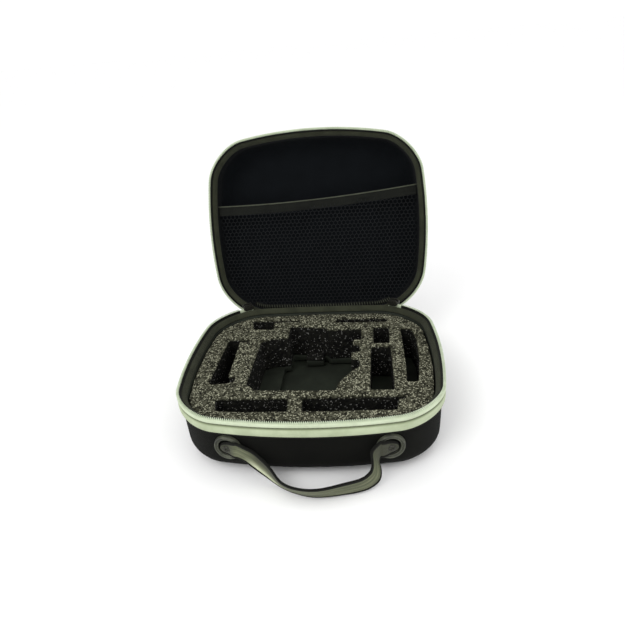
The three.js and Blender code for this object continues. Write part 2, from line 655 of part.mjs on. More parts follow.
function slider() {
  const post = new THREE.BoxGeometry(2.4, OUTER_PLATE_Y - INNER_PLATE_Y, 2.4);
  movedBy(post, 0, (OUTER_PLATE_Y + INNER_PLATE_Y + PLATE_THICKNESS) / 2, 0);
  const pin = new THREE.CylinderGeometry(PIN_RADIUS, PIN_RADIUS, 2 * LUG_X, 12);
  pin.rotateZ(Math.PI / 2).translate(0, PIN_Y, PIN_Z);
  const lugs = [-1, 1].map((end) => {
    const lug = new THREE.BoxGeometry(LUG_THICKNESS, PIN_Y - OUTER_PLATE_Y + 0.2, 2.2);
    return movedBy(lug, end * LUG_X, (PIN_Y + OUTER_PLATE_Y) / 2 + 0.5, PIN_Z);
  });
  return join([sliderPlate(INNER_PLATE_Y), sliderPlate(OUTER_PLATE_Y), post, pin, ...lugs]);
}

function pull() {
  const width = PULL_WIDTH;
  const sleeve = new THREE.CylinderGeometry(SLEEVE_RADIUS, SLEEVE_RADIUS, width, 16);
  sleeve.rotateZ(Math.PI / 2).translate(0, PIN_Y, PIN_Z);
  const bore = new THREE.CylinderGeometry(PULL_BORE, PULL_BORE, width + 2, 16);
  bore.rotateZ(Math.PI / 2).translate(0, PIN_Y, PIN_Z);
  const half = width / 2;
  const outline = [[-half, 0], [-half, -PULL_LENGTH + 1.6]];
  for (let i = 0; i <= 6; i += 1) {
    const angle = Math.PI + Math.PI * i / 6;
    outline.push([half * Math.cos(angle), -PULL_LENGTH + 1.6 + half * Math.sin(angle) * 0.8]);
  }
  outline.push([half, 0]);
  const blade = extruded(outline, 1.2).rotateX(Math.PI / 2).translate(0, PIN_Y + 0.6, PIN_Z);
  return cut(join([sleeve, blade]), [bore]);
}

SIDES.forEach((side) => {
  const mirror = side === 'left' ? -1 : 1;
  const station = rimStation(backParameter(SLIDER_X));
  const pieces = [[`zip_slider_${side}`, slider()], [`zip_pull_${side}`, pull()]];
  pieces.forEach(([name, geometry]) => {
    const mesh = addPart(carryCase, name, geometry, finish.metal);
    mesh.position.set(mirror * station.x, station.y, CLOSURE_Z);
    mesh.rotation.z = -mirror * Math.atan2(station.nx, station.ny);
  });
});

export default carryCase;
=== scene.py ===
"""A small zip-up carry case, standing open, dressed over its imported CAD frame. Metres."""
import json
import math

import bmesh
import bpy
import numpy as np
from mathutils import Matrix, Vector, noise


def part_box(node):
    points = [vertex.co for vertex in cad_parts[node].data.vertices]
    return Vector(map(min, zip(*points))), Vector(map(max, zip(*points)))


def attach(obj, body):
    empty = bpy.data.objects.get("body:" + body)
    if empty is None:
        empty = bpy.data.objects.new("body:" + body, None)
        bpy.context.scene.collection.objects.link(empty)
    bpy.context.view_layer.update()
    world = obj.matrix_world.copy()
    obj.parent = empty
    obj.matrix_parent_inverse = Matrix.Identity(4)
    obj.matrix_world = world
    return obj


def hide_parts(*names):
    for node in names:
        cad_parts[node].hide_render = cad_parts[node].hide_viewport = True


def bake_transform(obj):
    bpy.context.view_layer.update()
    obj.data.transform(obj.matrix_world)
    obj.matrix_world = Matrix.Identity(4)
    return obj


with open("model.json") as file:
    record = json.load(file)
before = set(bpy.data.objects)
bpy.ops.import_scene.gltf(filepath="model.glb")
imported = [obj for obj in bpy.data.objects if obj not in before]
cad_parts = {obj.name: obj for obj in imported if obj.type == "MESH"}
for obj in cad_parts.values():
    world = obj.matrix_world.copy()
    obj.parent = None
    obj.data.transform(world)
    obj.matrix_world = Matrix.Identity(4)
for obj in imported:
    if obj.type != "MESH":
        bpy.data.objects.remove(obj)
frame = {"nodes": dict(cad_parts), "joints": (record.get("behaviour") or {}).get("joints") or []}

SCENE = bpy.context.scene
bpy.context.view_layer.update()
MM = 0.001

# ---- sizes, from the frame
FRONT_RADIUS = 23.8 * MM  # the rim outline's corner radii and the bow of its edges
BACK_RADIUS = 33.3 * MM
SIDE_BOW = 7.6 * MM
FRONT_BOW = 10.3 * MM
BACK_BOW = 2.7 * MM
COIL_OUT = 1.5 * MM  # the coil stands this far outside the outline
COIL_GAP = 0.15 * MM  # from the coil to the plane where the two halves meet
RIM_INSET = 0.5 * MM  # the shell's rim is this far inside the outline
LID_HEIGHT = 28 * MM  # of the closed lid above that plane

coil_low, coil_high = (Vector(corner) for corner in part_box("base_zip_coil"))
shell_low, shell_high = (Vector(corner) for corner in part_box("base_shell"))

WIDTH = coil_high.x - coil_low.x - 2 * COIL_OUT
DEPTH = shell_high.y - shell_low.y + 2 * RIM_INSET
CLOSURE_Z = coil_high.z + COIL_GAP
BASE_RIM_Z = shell_high.z
CASE_TOP_Z = CLOSURE_Z + LID_HEIGHT
LID_RIM_Z = 2 * CLOSURE_Z - BASE_RIM_Z
FOAM_TOP_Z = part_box("foam_insert")[1][2]

JOINTS = {joint["name"]: joint for joint in frame["joints"]}
HINGE = Vector(JOINTS["lid_hinge"]["pos_m"])
LID_OPEN = math.radians(JOINTS["lid_hinge"]["range_deg"][1])
LID_PLACE = Matrix.Translation(HINGE) @ Matrix.Rotation(-LID_OPEN, 4, "X") @ Matrix.Translation(-HINGE)

HALF_W = WIDTH / 2 - SIDE_BOW
FRONT_Y = -DEPTH / 2 + FRONT_BOW
BACK_Y = DEPTH / 2 - BACK_BOW
MID_Y = (FRONT_Y + BACK_Y) / 2
HALF_D = (BACK_Y - FRONT_Y) / 2


def unit(vectors):
    return vectors / np.linalg.norm(vectors, axis=1)[:, None]


def travelled(points):
    """How far along a line each of its points is."""
    return np.concatenate([[0], np.cumsum(np.linalg.norm(np.diff(points, axis=0), axis=1))])


def smooth_line(points, steps):
    """A smooth curve through the points, with the same number of steps between each two."""
    points = np.array(points, float)
    padded = np.concatenate([2 * points[:1] - points[1:2], points, 2 * points[-1:] - points[-2:-1]])
    t = np.linspace(0, 1, steps, endpoint=False)[:, None]
    fine = []
    for p0, p1, p2, p3 in zip(padded, padded[1:], padded[2:], padded[3:]):
        bend = (2 * p0 - 5 * p1 + 4 * p2 - p3) * t**2 + (3 * p1 - p0 - 3 * p2 + p3) * t**3
        fine.append(0.5 * (2 * p1 + (p2 - p0) * t + bend))
    return np.concatenate(fine + [points[-1:]])


# ---- the rim outline
OUTLINE_STEPS = 300  # in each straight part and corner


def rim_outline():
    """Dense points of the bowed outline, clockwise from the middle of the back."""
    share = np.linspace(0, 1, OUTLINE_STEPS, endpoint=False)

    def line(x0, y0, x1, y1):
        return np.stack([x0 + (x1 - x0) * share, y0 + (y1 - y0) * share], 1)

    def arc(cx, cy, radius, start):
        angle = start - share * math.pi / 2
        return np.stack([cx + radius * np.cos(angle), cy + radius * np.sin(angle)], 1)

    back_x, front_x = HALF_W - BACK_RADIUS, HALF_W - FRONT_RADIUS
    back_y, front_y = BACK_Y - BACK_RADIUS, FRONT_Y + FRONT_RADIUS
    right = np.concatenate([
        line(0, BACK_Y, back_x, BACK_Y),
        arc(back_x, back_y, BACK_RADIUS, math.pi / 2),
        line(HALF_W, back_y, HALF_W, front_y),
        arc(front_x, front_y, FRONT_RADIUS, 0),
        line(front_x, FRONT_Y, 0, FRONT_Y),
    ])
    left = right[:0:-1] * [-1, 1]
    points = np.concatenate([right, [[0, FRONT_Y]], left])
    across = points[:, 0] / HALF_W
    along = (points[:, 1] - MID_Y) / HALF_D
    bow = np.where(along < 0, -FRONT_BOW, BACK_BOW)
    x = points[:, 0] + SIDE_BOW * across * (1 - along**2)
    y = points[:, 1] + bow * np.abs(along) * (1 - across**2)
    return np.stack([x, y], 1)


class Rim:
    """The outline by distance along it, with its outward normal."""

    def __init__(self):
        points = rim_outline()
        loop = np.concatenate([points, points[:1]])
        self.s = travelled(loop)
        self.length = self.s[-1]
        ahead = unit(np.roll(points, -3, axis=0) - np.roll(points, 3, axis=0))
        normals = np.stack([-ahead[:, 1], ahead[:, 0]], 1)
        self.table = np.concatenate([loop, np.concatenate([normals, normals[:1]])], 1)

    def at(self, s):
        s = np.mod(s, self.length)
        return np.stack([np.interp(s, self.s, column) for column in self.table.T], -1)

    def back_distance(self, x):
        """How far along the outline x is passed, from the middle of the back."""
        quarter = self.s < self.length / 4
        return float(np.interp(x, self.table[quarter, 0], self.s[quarter]))

    def around(self, step, start_x=None):
        """Distances along the outline: the whole loop, or all but the hinge stretch."""
        start = 0 if start_x is None else self.back_distance(start_x)
        count = int(round((self.length - 2 * start) / step))
        return np.linspace(start, self.length - start, count + 1)


RIM = Rim()


# ---- mesh helpers
def placed(name, data):
    """A new object in the scene."""
    made = bpy.data.objects.new(name, data)
    SCENE.collection.objects.link(made)
    return made


def new_object(name, vertices, faces):
    mesh = bpy.data.meshes.new(name)
    mesh.from_pydata([tuple(v) for v in vertices], [], faces)
    mesh.update()
    mesh.polygons.foreach_set("use_smooth", [True] * len(mesh.polygons))
    return placed(name, mesh)


def write_cloth(piece, coordinates):
    """Cloth coordinates in metres at each face corner, which the weaves are drawn from."""
    attribute = piece.data.attributes.new("cloth", "FLOAT_VECTOR", "CORNER")
    attribute.data.foreach_set("vector", np.asarray(coordinates, np.float32).ravel())


def cloth_object(name, vertices, faces, cloth):
    piece = new_object(name, vertices, faces)
    write_cloth(piece, cloth)
    mesh = bmesh.new()
    mesh.from_mesh(piece.data)
    bmesh.ops.recalc_face_normals(mesh, faces=mesh.faces)
    mesh.to_mesh(piece.data)
    mesh.free()
    return piece


def grid_object(name, points, u, v, wrap_u=False, wrap_v=False, caps=False):
    """An object from a grid of points [rows, columns, 3]. u and v are its cloth coordinates."""
    rows, columns = points.shape[:2]
    faces, cloth = [], []
    for i in range(rows if wrap_u else rows - 1):
        i1 = (i + 1) % rows
        for j in range(columns if wrap_v else columns - 1):
            j1 = (j + 1) % columns
            faces.append((i * columns + j, i1 * columns + j, i1 * columns + j1, i * columns + j1))
            cloth += [(u[i], v[j], 0), (u[i + 1], v[j], 0), (u[i + 1], v[j + 1], 0), (u[i], v[j + 1], 0)]
    if caps:
        last = (rows - 1) * columns
        faces.append(tuple(range(columns)))
        faces.append(tuple(last + j for j in reversed(range(columns))))
        cloth += [(0, v[j], 0) for j in range(columns)]
        cloth += [(0, v[j], 0) for j in reversed(range(columns))]
    return cloth_object(name, points.reshape(-1, 3), faces, cloth)


STRIP_STEP = 1.5 * MM  # along the rim


def section_lengths(section):
    """How far round a closed section each of its corners is, and the whole way round."""
    return travelled(np.concatenate([section, section[:1]]))


def rim_points(distances, section):
    """Points of a section of (outwards, z) at each distance along the rim."""
    x, y, nx, ny = RIM.at(distances).T
    out, z = section[:, 0], section[:, 1]
    return np.stack([
        x[:, None] + nx[:, None] * out,
        y[:, None] + ny[:, None] * out,
        np.broadcast_to(z, (len(x), len(z))),
    ], -1)


def rim_strip(name, section_mm, start_x=None):
    """A strip with a closed section, round the whole rim or from one end of the hinge to the other."""
    section = smooth_section(section_mm) * MM
    distances = RIM.around(STRIP_STEP, start_x)
    whole = start_x is None
    points = rim_points(distances[:-1] if whole else distances, section)
    v = section_lengths(section)
    return grid_object(name, points, distances, v, wrap_u=whole, wrap_v=True, caps=not whole)


def tubes_object(name, tubes, cloth_step):
    """Many short closed tubes as one object, each a list of rings of points."""
    vertices, faces, cloth = [], [], []
    for rings in tubes:
        first, sides = len(vertices), len(rings[0])
        vertices += [point for ring in rings for point in ring]
        for i in range(len(rings) - 1):
            for k in range(sides):
                a, b = first + i * sides + k, first + i * sides + (k + 1) % sides
                faces.append((a, b, b + sides, a + sides))
                cloth += [(i * cloth_step, k * cloth_step, 0)] * 4
        last = first + (len(rings) - 1) * sides
        faces.append(tuple(first + k for k in reversed(range(sides))))
        faces.append(tuple(last + k for k in range(sides)))
        cloth += [(0, 0, 0)] * (2 * sides)
    return cloth_object(name, vertices, faces, cloth)


def smooth_section(corners, rounds=2):
    """Rounds a closed section off by cutting its corners."""
    points = np.array(corners, float)
    for _ in range(rounds):
        ahead = np.roll(points, -1, axis=0)
        points = np.stack([0.75 * points + 0.25 * ahead, 0.25 * points + 0.75 * ahead], 1).reshape(-1, 2)
    return points


def turned_over(section_mm):
    """The same section on the lid's side of the closure plane, with the lid closed."""
    total = 2 * CLOSURE_Z / MM
    return [(out, total - z) for out, z in section_mm]


def to_lid(piece):
    """Turns a piece that was made on the closed lid to where the lid stands open."""
    piece.data.transform(LID_PLACE)
    return piece


def finish_piece(piece, material, body, replaced=()):
    piece.data.materials.clear()
    piece.data.materials.append(material)
    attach(piece, body)
    if replaced:
        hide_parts(*replaced)


def fine_noise(point, scale, seed=0):
    return noise.noise(Vector(point) / scale + Vector((seed, 0, 0)))


# ---- materials
class Finish:
    """A Principled material and short names for the nodes that feed it."""

    def __init__(self, name, roughness=0.8, metallic=0.0, sheen=0.0, specular=0.5):
        self.material = bpy.data.materials.new(name)
        self.material.use_nodes = True
        self.tree = self.material.node_tree
        self.shader = self.tree.nodes["Principled BSDF"]
        inputs = {
            "Roughness": roughness, "Metallic": metallic, "Specular IOR Level": specular,
            "Sheen Weight": sheen, "Sheen Roughness": 0.5,
        }
        for key, value in inputs.items():
            self.feed(self.shader.inputs[key], value)
        self.surface = None

    def node(self, kind, inputs=None, **settings):
        node = self.tree.nodes.new(kind)
        for key, value in settings.items():
            setattr(node, key, value)
        for key, value in (inputs or {}).items():
            self.feed(node.inputs[key], value)
        return node

    def feed(self, socket, value):
        if isinstance(value, bpy.types.NodeSocket):
            self.tree.links.new(value, socket)
        else:
            socket.default_value = value

    def math(self, operation, a, b=0.0, c=0.0):
        return self.node("ShaderNodeMath", {0: a, 1: b, 2: c}, operation=operation).outputs[0]

    def place(self):
        return self.node("ShaderNodeTexCoord").outputs["Object"]

    def cloth(self):
        """The cloth coordinates along and across a woven piece."""
        vector = self.node("ShaderNodeAttribute", attribute_name="cloth").outputs["Vector"]
        parts = self.node("ShaderNodeSeparateXYZ", {0: vector})
        return vector, parts.outputs["X"], parts.outputs["Y"]

    def noise(self, vector, size, detail=2.0, roughness=0.5):
        inputs = {"Vector": vector, "Scale": 1 / size, "Detail": detail, "Roughness": roughness}
        return self.node("ShaderNodeTexNoise", inputs).outputs[0]

    def sine(self, coordinate, pitch):
        return self.math("SINE", self.math("MULTIPLY", coordinate, math.pi / pitch))

    def wave(self, coordinate, pitch):
        """Rounded ridges, one in each pitch."""
        return self.math("ABSOLUTE", self.sine(coordinate, pitch))

    def share(self, part, a, b):
        """That part of a, and the rest of b."""
        return self.math("ADD", self.math("MULTIPLY", a, part), self.math("MULTIPLY", b, 1 - part))

    def plain_weave(self, u, v, pitch):
        """Warp over weft and weft over warp, by turns."""
        warp, weft = self.sine(u, pitch), self.sine(v, pitch)
        over = self.math("GREATER_THAN", self.math("MULTIPLY", warp, weft), 0.0)
        high, low = self.math("ABSOLUTE", warp), self.math("ABSOLUTE", weft)
        mixed = self.math("MULTIPLY", over, self.math("SUBTRACT", high, low))
        return self.math("ADD", low, mixed)

    def fade(self, value, none, full):
        """0 where the value is at none, 1 at full, and smooth between."""
        inputs = {0: value, 1: none, 2: full}
        return self.node("ShaderNodeMapRange", inputs, interpolation_type="SMOOTHSTEP").outputs[0]

    def ramp(self, value, stops):
        node = self.node("ShaderNodeValToRGB", {0: value})
        elements = node.color_ramp.elements
        while len(elements) < len(stops):
            elements.new(0.5)
        for element, (position, color) in zip(elements, stops):
            element.position = position
            element.color = (*color, 1)
        return node.outputs[0]

    def mix(self, factor, a, b):
        node = self.node("ShaderNodeMix", data_type="RGBA")
        self.feed(node.inputs[0], factor)
        for socket, value in ((node.inputs[6], a), (node.inputs[7], b)):
            self.feed(socket, (*value, 1) if isinstance(value, tuple) else value)
        return node.outputs[2]

    def color(self, value):
        self.feed(self.shader.inputs["Base Color"], value)

    def rough(self, value, spread, least):
        self.feed(self.shader.inputs["Roughness"], self.math("MULTIPLY_ADD", value, spread, least))

    def bump(self, height, depth):
        node = self.node("ShaderNodeBump", {"Height": height, "Distance": depth, "Strength": 1.0})
        if self.surface is not None:
            self.feed(node.inputs["Normal"], self.surface)
        self.surface = node.outputs[0]
        self.feed(self.shader.inputs["Normal"], self.surface)


def srgb(*color):
    """A colour as seen, 0 to 255, in the shader's linear values."""
    return tuple((c / 255 / 12.92) if c <= 10 else ((c / 255 + 0.055) / 1.055) ** 2.4 for c in color)


def woven_finish(name, dark, light, pitch, depth):
    made = Finish(name, 0.9, sheen=0.02, specular=0.08)
    vector, u, v = made.cloth()
    weave = made.plain_weave(u, v, pitch)
    patches = made.noise(made.place(), 14 * MM, 3)
    fuzz = made.noise(vector, 0.35 * MM)
    made.color(made.ramp(made.share(0.45, weave, patches), [(0.2, dark), (0.75, light)]))
    made.rough(fuzz, 0.2, 0.8)
    made.bump(weave, depth)
    made.bump(fuzz, depth * 0.6)
    return made.material


def ribbed_finish(name, dark, light, pitch, depth):
    """Grosgrain: ribs across the length, with a fine yarn along each."""
    made = Finish(name, 0.88, sheen=0.04, specular=0.15)
    _, u, v = made.cloth()
    ribs = made.wave(u, pitch)
    yarn = made.wave(v, pitch * 0.6)
    patches = made.noise(made.place(), 9 * MM, 3)
    made.color(made.ramp(made.share(0.5, ribs, patches), [(0.2, dark), (0.8, light)]))
    made.bump(ribs, depth)
    made.bump(yarn, depth * 0.4)
    return made.material


def tape_finish(groove):
    """A pale band whose two lobes part at the groove, the distance across it at which it is sewn. Painted
    light makes the upper lobe lighter than the lower, and painted shade darkens the groove.
    """
    made = Finish("zip_tape_cloth", 0.75, sheen=0.05, specular=0.3)
    vector, u, v = made.cloth()
    chevron = made.math("ADD", u, made.math("PINGPONG", v, 1.2 * MM))
    twill = made.wave(chevron, 0.7 * MM)
    soil = made.noise(made.place(), 11 * MM, 4, 0.6)
    # Painted light: a darker copy of the tape's colour for the lower lobe, a lighter one for the upper.
    lower = made.ramp(soil, [(0.3, srgb(161, 172, 139)), (0.65, srgb(184, 195, 163))])
    upper = made.ramp(soil, [(0.3, srgb(186, 197, 168)), (0.65, srgb(208, 219, 191))])
    lobes_lit_and_shaded = made.mix(made.math("GREATER_THAN", v, groove), lower, upper)
    woven = made.mix(made.math("MULTIPLY", twill, 0.2), lobes_lit_and_shaded, srgb(172, 182, 152))
    # Painted shade along the sewn groove.
    reach = made.math("ABSOLUTE", made.math("SUBTRACT", v, groove))
    made.color(made.mix(made.fade(reach, 2.0 * MM, 0.6 * MM), woven, srgb(120, 129, 100)))
    made.bump(twill, 0.08 * MM)
    made.bump(made.noise(vector, 0.3 * MM), 0.04 * MM)
    return made.material


def coil_finish():
    made = Finish("zip_coil_nylon", 0.4)
    grain = made.noise(made.place(), 6 * MM, 3)
    made.color(made.ramp(grain, [(0.3, srgb(180, 192, 164)), (0.7, srgb(208, 218, 194))]))
    made.rough(grain, 0.2, 0.32)
    made.bump(made.noise(made.place(), 0.4 * MM), 0.02 * MM)
    return made.material


def foam_finish():
    """Rebonded foam: charcoal crumbs and pale flecks, with painted shade down in the pockets."""
    made = Finish("foam_cells", 0.95, specular=0.1)
    place = made.place()
    cells = made.node("ShaderNodeTexVoronoi", {"Vector": place, "Scale": 1 / (1.35 * MM)})
    small = made.node("ShaderNodeTexVoronoi", {"Vector": place, "Scale": 1 / (0.75 * MM)})
    crumbs = made.node("ShaderNodeSeparateColor", {0: cells.outputs["Color"]}).outputs[0]
    specks = made.node("ShaderNodeSeparateColor", {0: small.outputs["Color"]}).outputs[1]
    body = made.ramp(crumbs, [
        (0.0, srgb(22, 22, 17)), (0.35, srgb(44, 44, 34)), (0.7, srgb(70, 70, 57)), (1.0, srgb(88, 88, 74)),
    ])
    height = made.node("ShaderNodeSeparateXYZ", {0: place}).outputs["Z"]
    # Painted shade: below the foam's top the pocket walls are darkened, and their flecks are dimmed and
    # fewer.
    top = made.fade(height, FOAM_TOP_Z - 2.6 * MM, FOAM_TOP_Z - 0.6 * MM)
    sparse = made.math("MULTIPLY_ADD", top, -0.12, 0.95)
    pale = made.math("GREATER_THAN", specks, sparse)
    walls = made.mix(0.88, body, srgb(12, 12, 13))
    body = made.mix(top, walls, body)
    fleck = made.mix(top, srgb(122, 122, 118), srgb(160, 160, 138))
    made.color(made.mix(made.math("MULTIPLY", pale, 0.85), body, fleck))
    made.bump(cells.outputs["Distance"], 0.35 * MM)
    made.bump(small.outputs["Distance"], 0.2 * MM)
    return made.material


def pad_finish():
    made = Finish("pad_skin", 0.75, specular=0.2)
    place = made.place()
    broad = made.noise(place, 18 * MM, 3)
    fine = made.noise(place, 0.7 * MM, 3)
    made.color(made.ramp(broad, [(0.3, srgb(23, 26, 20)), (0.7, srgb(38, 43, 34))]))
    made.bump(fine, 0.06 * MM)
    return made.material


def moulded_finish():
    made = Finish("moulded_ring", 0.55, specular=0.45)
    place = made.place()
    grain = made.noise(place, 0.5 * MM, 3)
    made.color(made.ramp(made.noise(place, 5 * MM), [(0.3, srgb(42, 44, 36)), (0.7, srgb(84, 87, 72))]))
    made.rough(grain, 0.25, 0.42)
    made.bump(grain, 0.05 * MM)
    return made.material


def metal_finish():
    made = Finish("dark_metal", 0.38, metallic=0.85)
    place = made.place()
    wear = made.noise(place, 0.9 * MM, 4, 0.6)
    made.color(made.ramp(wear, [(0.35, srgb(46, 46, 42)), (0.8, srgb(80, 80, 73))]))
    made.rough(wear, 0.35, 0.25)
    made.bump(made.noise(place, 0.3 * MM), 0.01 * MM)
    return made.material


def webbing_finish(length, girth):
    """Olive webbing, dark at its riveted ends, with a painted highlight low on the slope by the left one
    and painted shade above it.
    """
    made = Finish("handle_webbing", 0.6, sheen=0.05, specular=0.3)
    vector, u, v = made.cloth()
    chevron = made.math("ADD", u, made.math("PINGPONG", v, 1.6 * MM))
    twill = made.wave(chevron, 0.9 * MM)
    drawn = made.node("ShaderNodeVectorMath", {0: vector, 1: (0.08, 1.0, 1.0)}, operation="MULTIPLY")
    streaks = made.noise(drawn.outputs[0], 1.5 * MM)
    face = made.ramp(streaks, [(0.3, srgb(69, 73, 51)), (0.5, srgb(90, 95, 69)), (0.7, srgb(116, 121, 92))])
    up = made.math("PINGPONG", v, girth / 2)
    slope = made.fade(made.math("ABSOLUTE", made.math("SUBTRACT", u, HIGHLIGHT_PLACE)), HIGHLIGHT_REACH, 5 * MM)
    low = made.fade(up, 8.5 * MM, 4 * MM)
    high = made.fade(up, 8 * MM, 10.5 * MM)
    # Painted shade: the upper part of the slope darkened.
    face = made.mix(made.math("MULTIPLY", slope, high), face, srgb(58, 60, 44))
    # Painted highlight: the lower part of the slope made pale.
    face = made.mix(made.math("MULTIPLY", slope, low), face, srgb(206, 212, 178))
    left_end = made.fade(u, 12 * MM, 5 * MM)
    right_end = made.fade(u, length - 28 * MM, length - 9 * MM)
    face = made.mix(made.math("MAXIMUM", left_end, right_end), face, srgb(50, 52, 38))
    made.color(made.mix(made.math("MULTIPLY", twill, 0.22), face, srgb(58, 60, 44)))
    made.bump(twill, 0.12 * MM)
    made.bump(made.noise(vector, 0.3 * MM), 0.05 * MM)
    return made.material


SHELL = woven_finish("shell_fabric", srgb(4, 4, 4), srgb(15, 16, 12), 0.55 * MM, 0.09 * MM)
LINING = woven_finish("lining_tricot", srgb(5, 7, 9), srgb(13, 16, 19), 0.45 * MM, 0.05 * MM)
BINDING = ribbed_finish("rim_binding", srgb(20, 21, 15), srgb(60, 63, 48), 0.8 * MM, 0.16 * MM)
GUSSET = ribbed_finish("gusset_cloth", srgb(58, 62, 47), srgb(114, 119, 95), 0.7 * MM, 0.12 * MM)
ELASTIC = ribbed_finish("pocket_elastic_knit", srgb(7, 8, 7), srgb(27, 29, 24), 0.9 * MM, 0.2 * MM)
NET = ribbed_finish("net_yarn", srgb(8, 9, 10), srgb(30, 33, 34), 0.4 * MM, 0.05 * MM)
# Lighter than the elastic: a painted highlight on the elastic's rolled edge, and the thread colour of the
# hem's whip stitches.
ROLL = ribbed_finish("elastic_roll", srgb(38, 40, 33), srgb(84, 88, 74), 0.5 * MM, 0.1 * MM)
THREAD = ribbed_finish("thread", srgb(70, 76, 58), srgb(118, 126, 100), 0.3 * MM, 0.05 * MM)
PIPING = ribbed_finish("dark_piping", srgb(6, 6, 5), srgb(18, 19, 14), 0.6 * MM, 0.1 * MM)
COIL = coil_finish()
FOAM = foam_finish()
PAD = pad_finish()
MOULDED = moulded_finish()
METAL = metal_finish()


# ---- shells and linings
# In mm, as the sections below are: (outwards from the outline, z).
SHELL_CORNER = 12.0
SHELL_FACES = (0, 3.0)  # how deep each face is below the shell's skin
LINING_FACES = (3.3, 4.0)
WALL_INSET = 1.0  # how far inside the outline the wall's foot is
CORNER_POINTS = 10
WALL_STEPS = 8
SHELL_STEP = 2.2 * MM  # along the rim
FRONT_TUCK = 5.2 * MM  # how far the foot of the front wall leans in at its middle
TUCK_HEIGHT = 13 * MM
FLOOR_RINGS = 9
RIPPLE_SIZE = 20 * MM
FLAT_NORMAL = 0.7  # a face whose normal's z is past this lies on a floor


def shell_face(inset, rim_z):
    """A shell's face at a depth below its skin, from the floor's edge up to the rim."""
    radius = SHELL_CORNER - inset
    angles = np.linspace(-math.pi / 2, 0, CORNER_POINTS)
    middle = -WALL_INSET - SHELL_CORNER
    arc = [(middle + radius * math.cos(a), SHELL_CORNER + radius * math.sin(a)) for a in angles]
    share = np.linspace(0, 1, WALL_STEPS + 1)[1:]
    foot, head = arc[-1], (-RIM_INSET / MM - inset, rim_z)
    wall = [(foot[0] + (head[0] - foot[0]) * k, foot[1] + (head[1] - foot[1]) * k) for k in share]
    return arc + wall


def tuck_front(points):
    """Leans the low part of the front wall in, as the frame has it."""
    x, y, z = points[..., 0], points[..., 1], points[..., 2]
    ahead = np.maximum(0, (MID_Y - y) / HALF_D)
    low = np.maximum(0, 1 - z / TUCK_HEIGHT)
    middle = np.maximum(0, 1 - (x / HALF_W) ** 4)
    moved = points.copy()
    moved[..., 1] = y + FRONT_TUCK * ahead * low**2 * middle
    return moved


def bowl(name, faces_mm, relief, seed, flip=None):
    """A closed bowl from its outer and inner faces, with rings across both floors."""
    outer, inner = faces_mm
    wall = np.array(outer + inner[::-1]) * MM
    if flip is not None:
        wall[:, 1] = flip - wall[:, 1]
    distances = RIM.around(SHELL_STEP)
    points = ripple(rim_points(distances[:-1], wall), relief, seed)
    shares = np.linspace(0, 1, FLOOR_RINGS + 1)[1:-1]

    def floor(edge, z, across):
        centre = np.array([0, MID_Y, z])
        return np.stack([edge * k + centre * (1 - k) for k in across], 1)

    outer_floor = floor(points[:, 0], wall[0, 1], shares)
    inner_floor = floor(points[:, -1], wall[-1, 1], shares[::-1])
    columns = np.concatenate([outer_floor, points, inner_floor], 1)
    if flip is None:
        columns = tuck_front(columns)
    piece = grid_object(name, columns, distances, travelled(columns[0]), wrap_u=True)
    close_ends(piece, *columns.shape[:2])
    lay_cloth_flat(piece)
    return piece


def lay_cloth_flat(piece):
    """Over the floors the weave runs straight across, where the walls have it follow the rim."""
    mesh = piece.data
    cloth = mesh.attributes["cloth"]
    for polygon in mesh.polygons:
        if abs(polygon.normal.z) > FLAT_NORMAL:
            for corner in polygon.loop_indices:
                cloth.data[corner].vector = mesh.vertices[mesh.loops[corner].vertex_index].co


def close_ends(piece, rows, columns):
    """Fills the hole that a bowl's grid leaves at the middle of each floor."""
    mesh = bmesh.new()
    mesh.from_mesh(piece.data)
    mesh.verts.ensure_lookup_table()
    for column in (0, columns - 1):
        ring = [mesh.verts[i * columns + column] for i in range(rows)]
        face = mesh.faces.new(ring)
        bmesh.ops.poke(mesh, faces=[face])
        mesh.verts.ensure_lookup_table()
    bmesh.ops.recalc_face_normals(mesh, faces=mesh.faces)
    for face in mesh.faces:
        face.smooth = True
    mesh.to_mesh(piece.data)
    mesh.free()


def ripple(points, depth, seed):
    """Very shallow waves, as pressed cloth has."""
    flat = points.reshape(-1, 3)
    waves = np.array([fine_noise(p, RIPPLE_SIZE, seed) for p in flat])
    outward = unit(flat - np.array([0, MID_Y, CLOSURE_Z]))
    return (flat + outward * waves[:, None] * depth).reshape(points.shape)


def make_shells():
    for name, body, slot, depths, material, relief, seed in (
        ("shell_lower", "base", "shell", SHELL_FACES, SHELL, 0.12 * MM, 3),
        ("shell_upper", "lid", "shell", SHELL_FACES, SHELL, 0.12 * MM, 7),
        ("lining_lower", "base", "lining", LINING_FACES, PAD, 0.05 * MM, 5),
        ("lining_upper", "lid", "lining", LINING_FACES, LINING, 0.1 * MM, 11),
    ):
        rim_z = BASE_RIM_Z if body == "base" else CASE_TOP_Z - LID_RIM_Z
        faces = [shell_face(depth, rim_z / MM) for depth in depths]
        if body == "base":
            piece = bowl(name, faces, relief, seed)
        else:
            piece = to_lid(bowl(name, faces, relief, seed, flip=CASE_TOP_Z))
        finish_piece(piece, material, body, [f"{body}_{slot}"])


# ---- rim: binding, tape, coil, stitches
# A rounded flange that slopes from the zipper down to the shell's inner edge.
BINDING_SECTION = [
    (-0.9, 38.3), (-1, 41.4), (-1.5, 42.4), (-2.2, 42.2), (-3.5, 41), (-4.6, 39.4), (-4.7, 38.3),
]
# The tape's inner face stands up between the coil and the binding, coloured black as painted shade for the
# gap there.
SHADED_BACKING_SECTION = [(-0.25, 40), (-0.25, 43.9), (-0.6, 44.3), (-1.2, 43.9), (-1.6, 42.6), (-1.3, 40)]
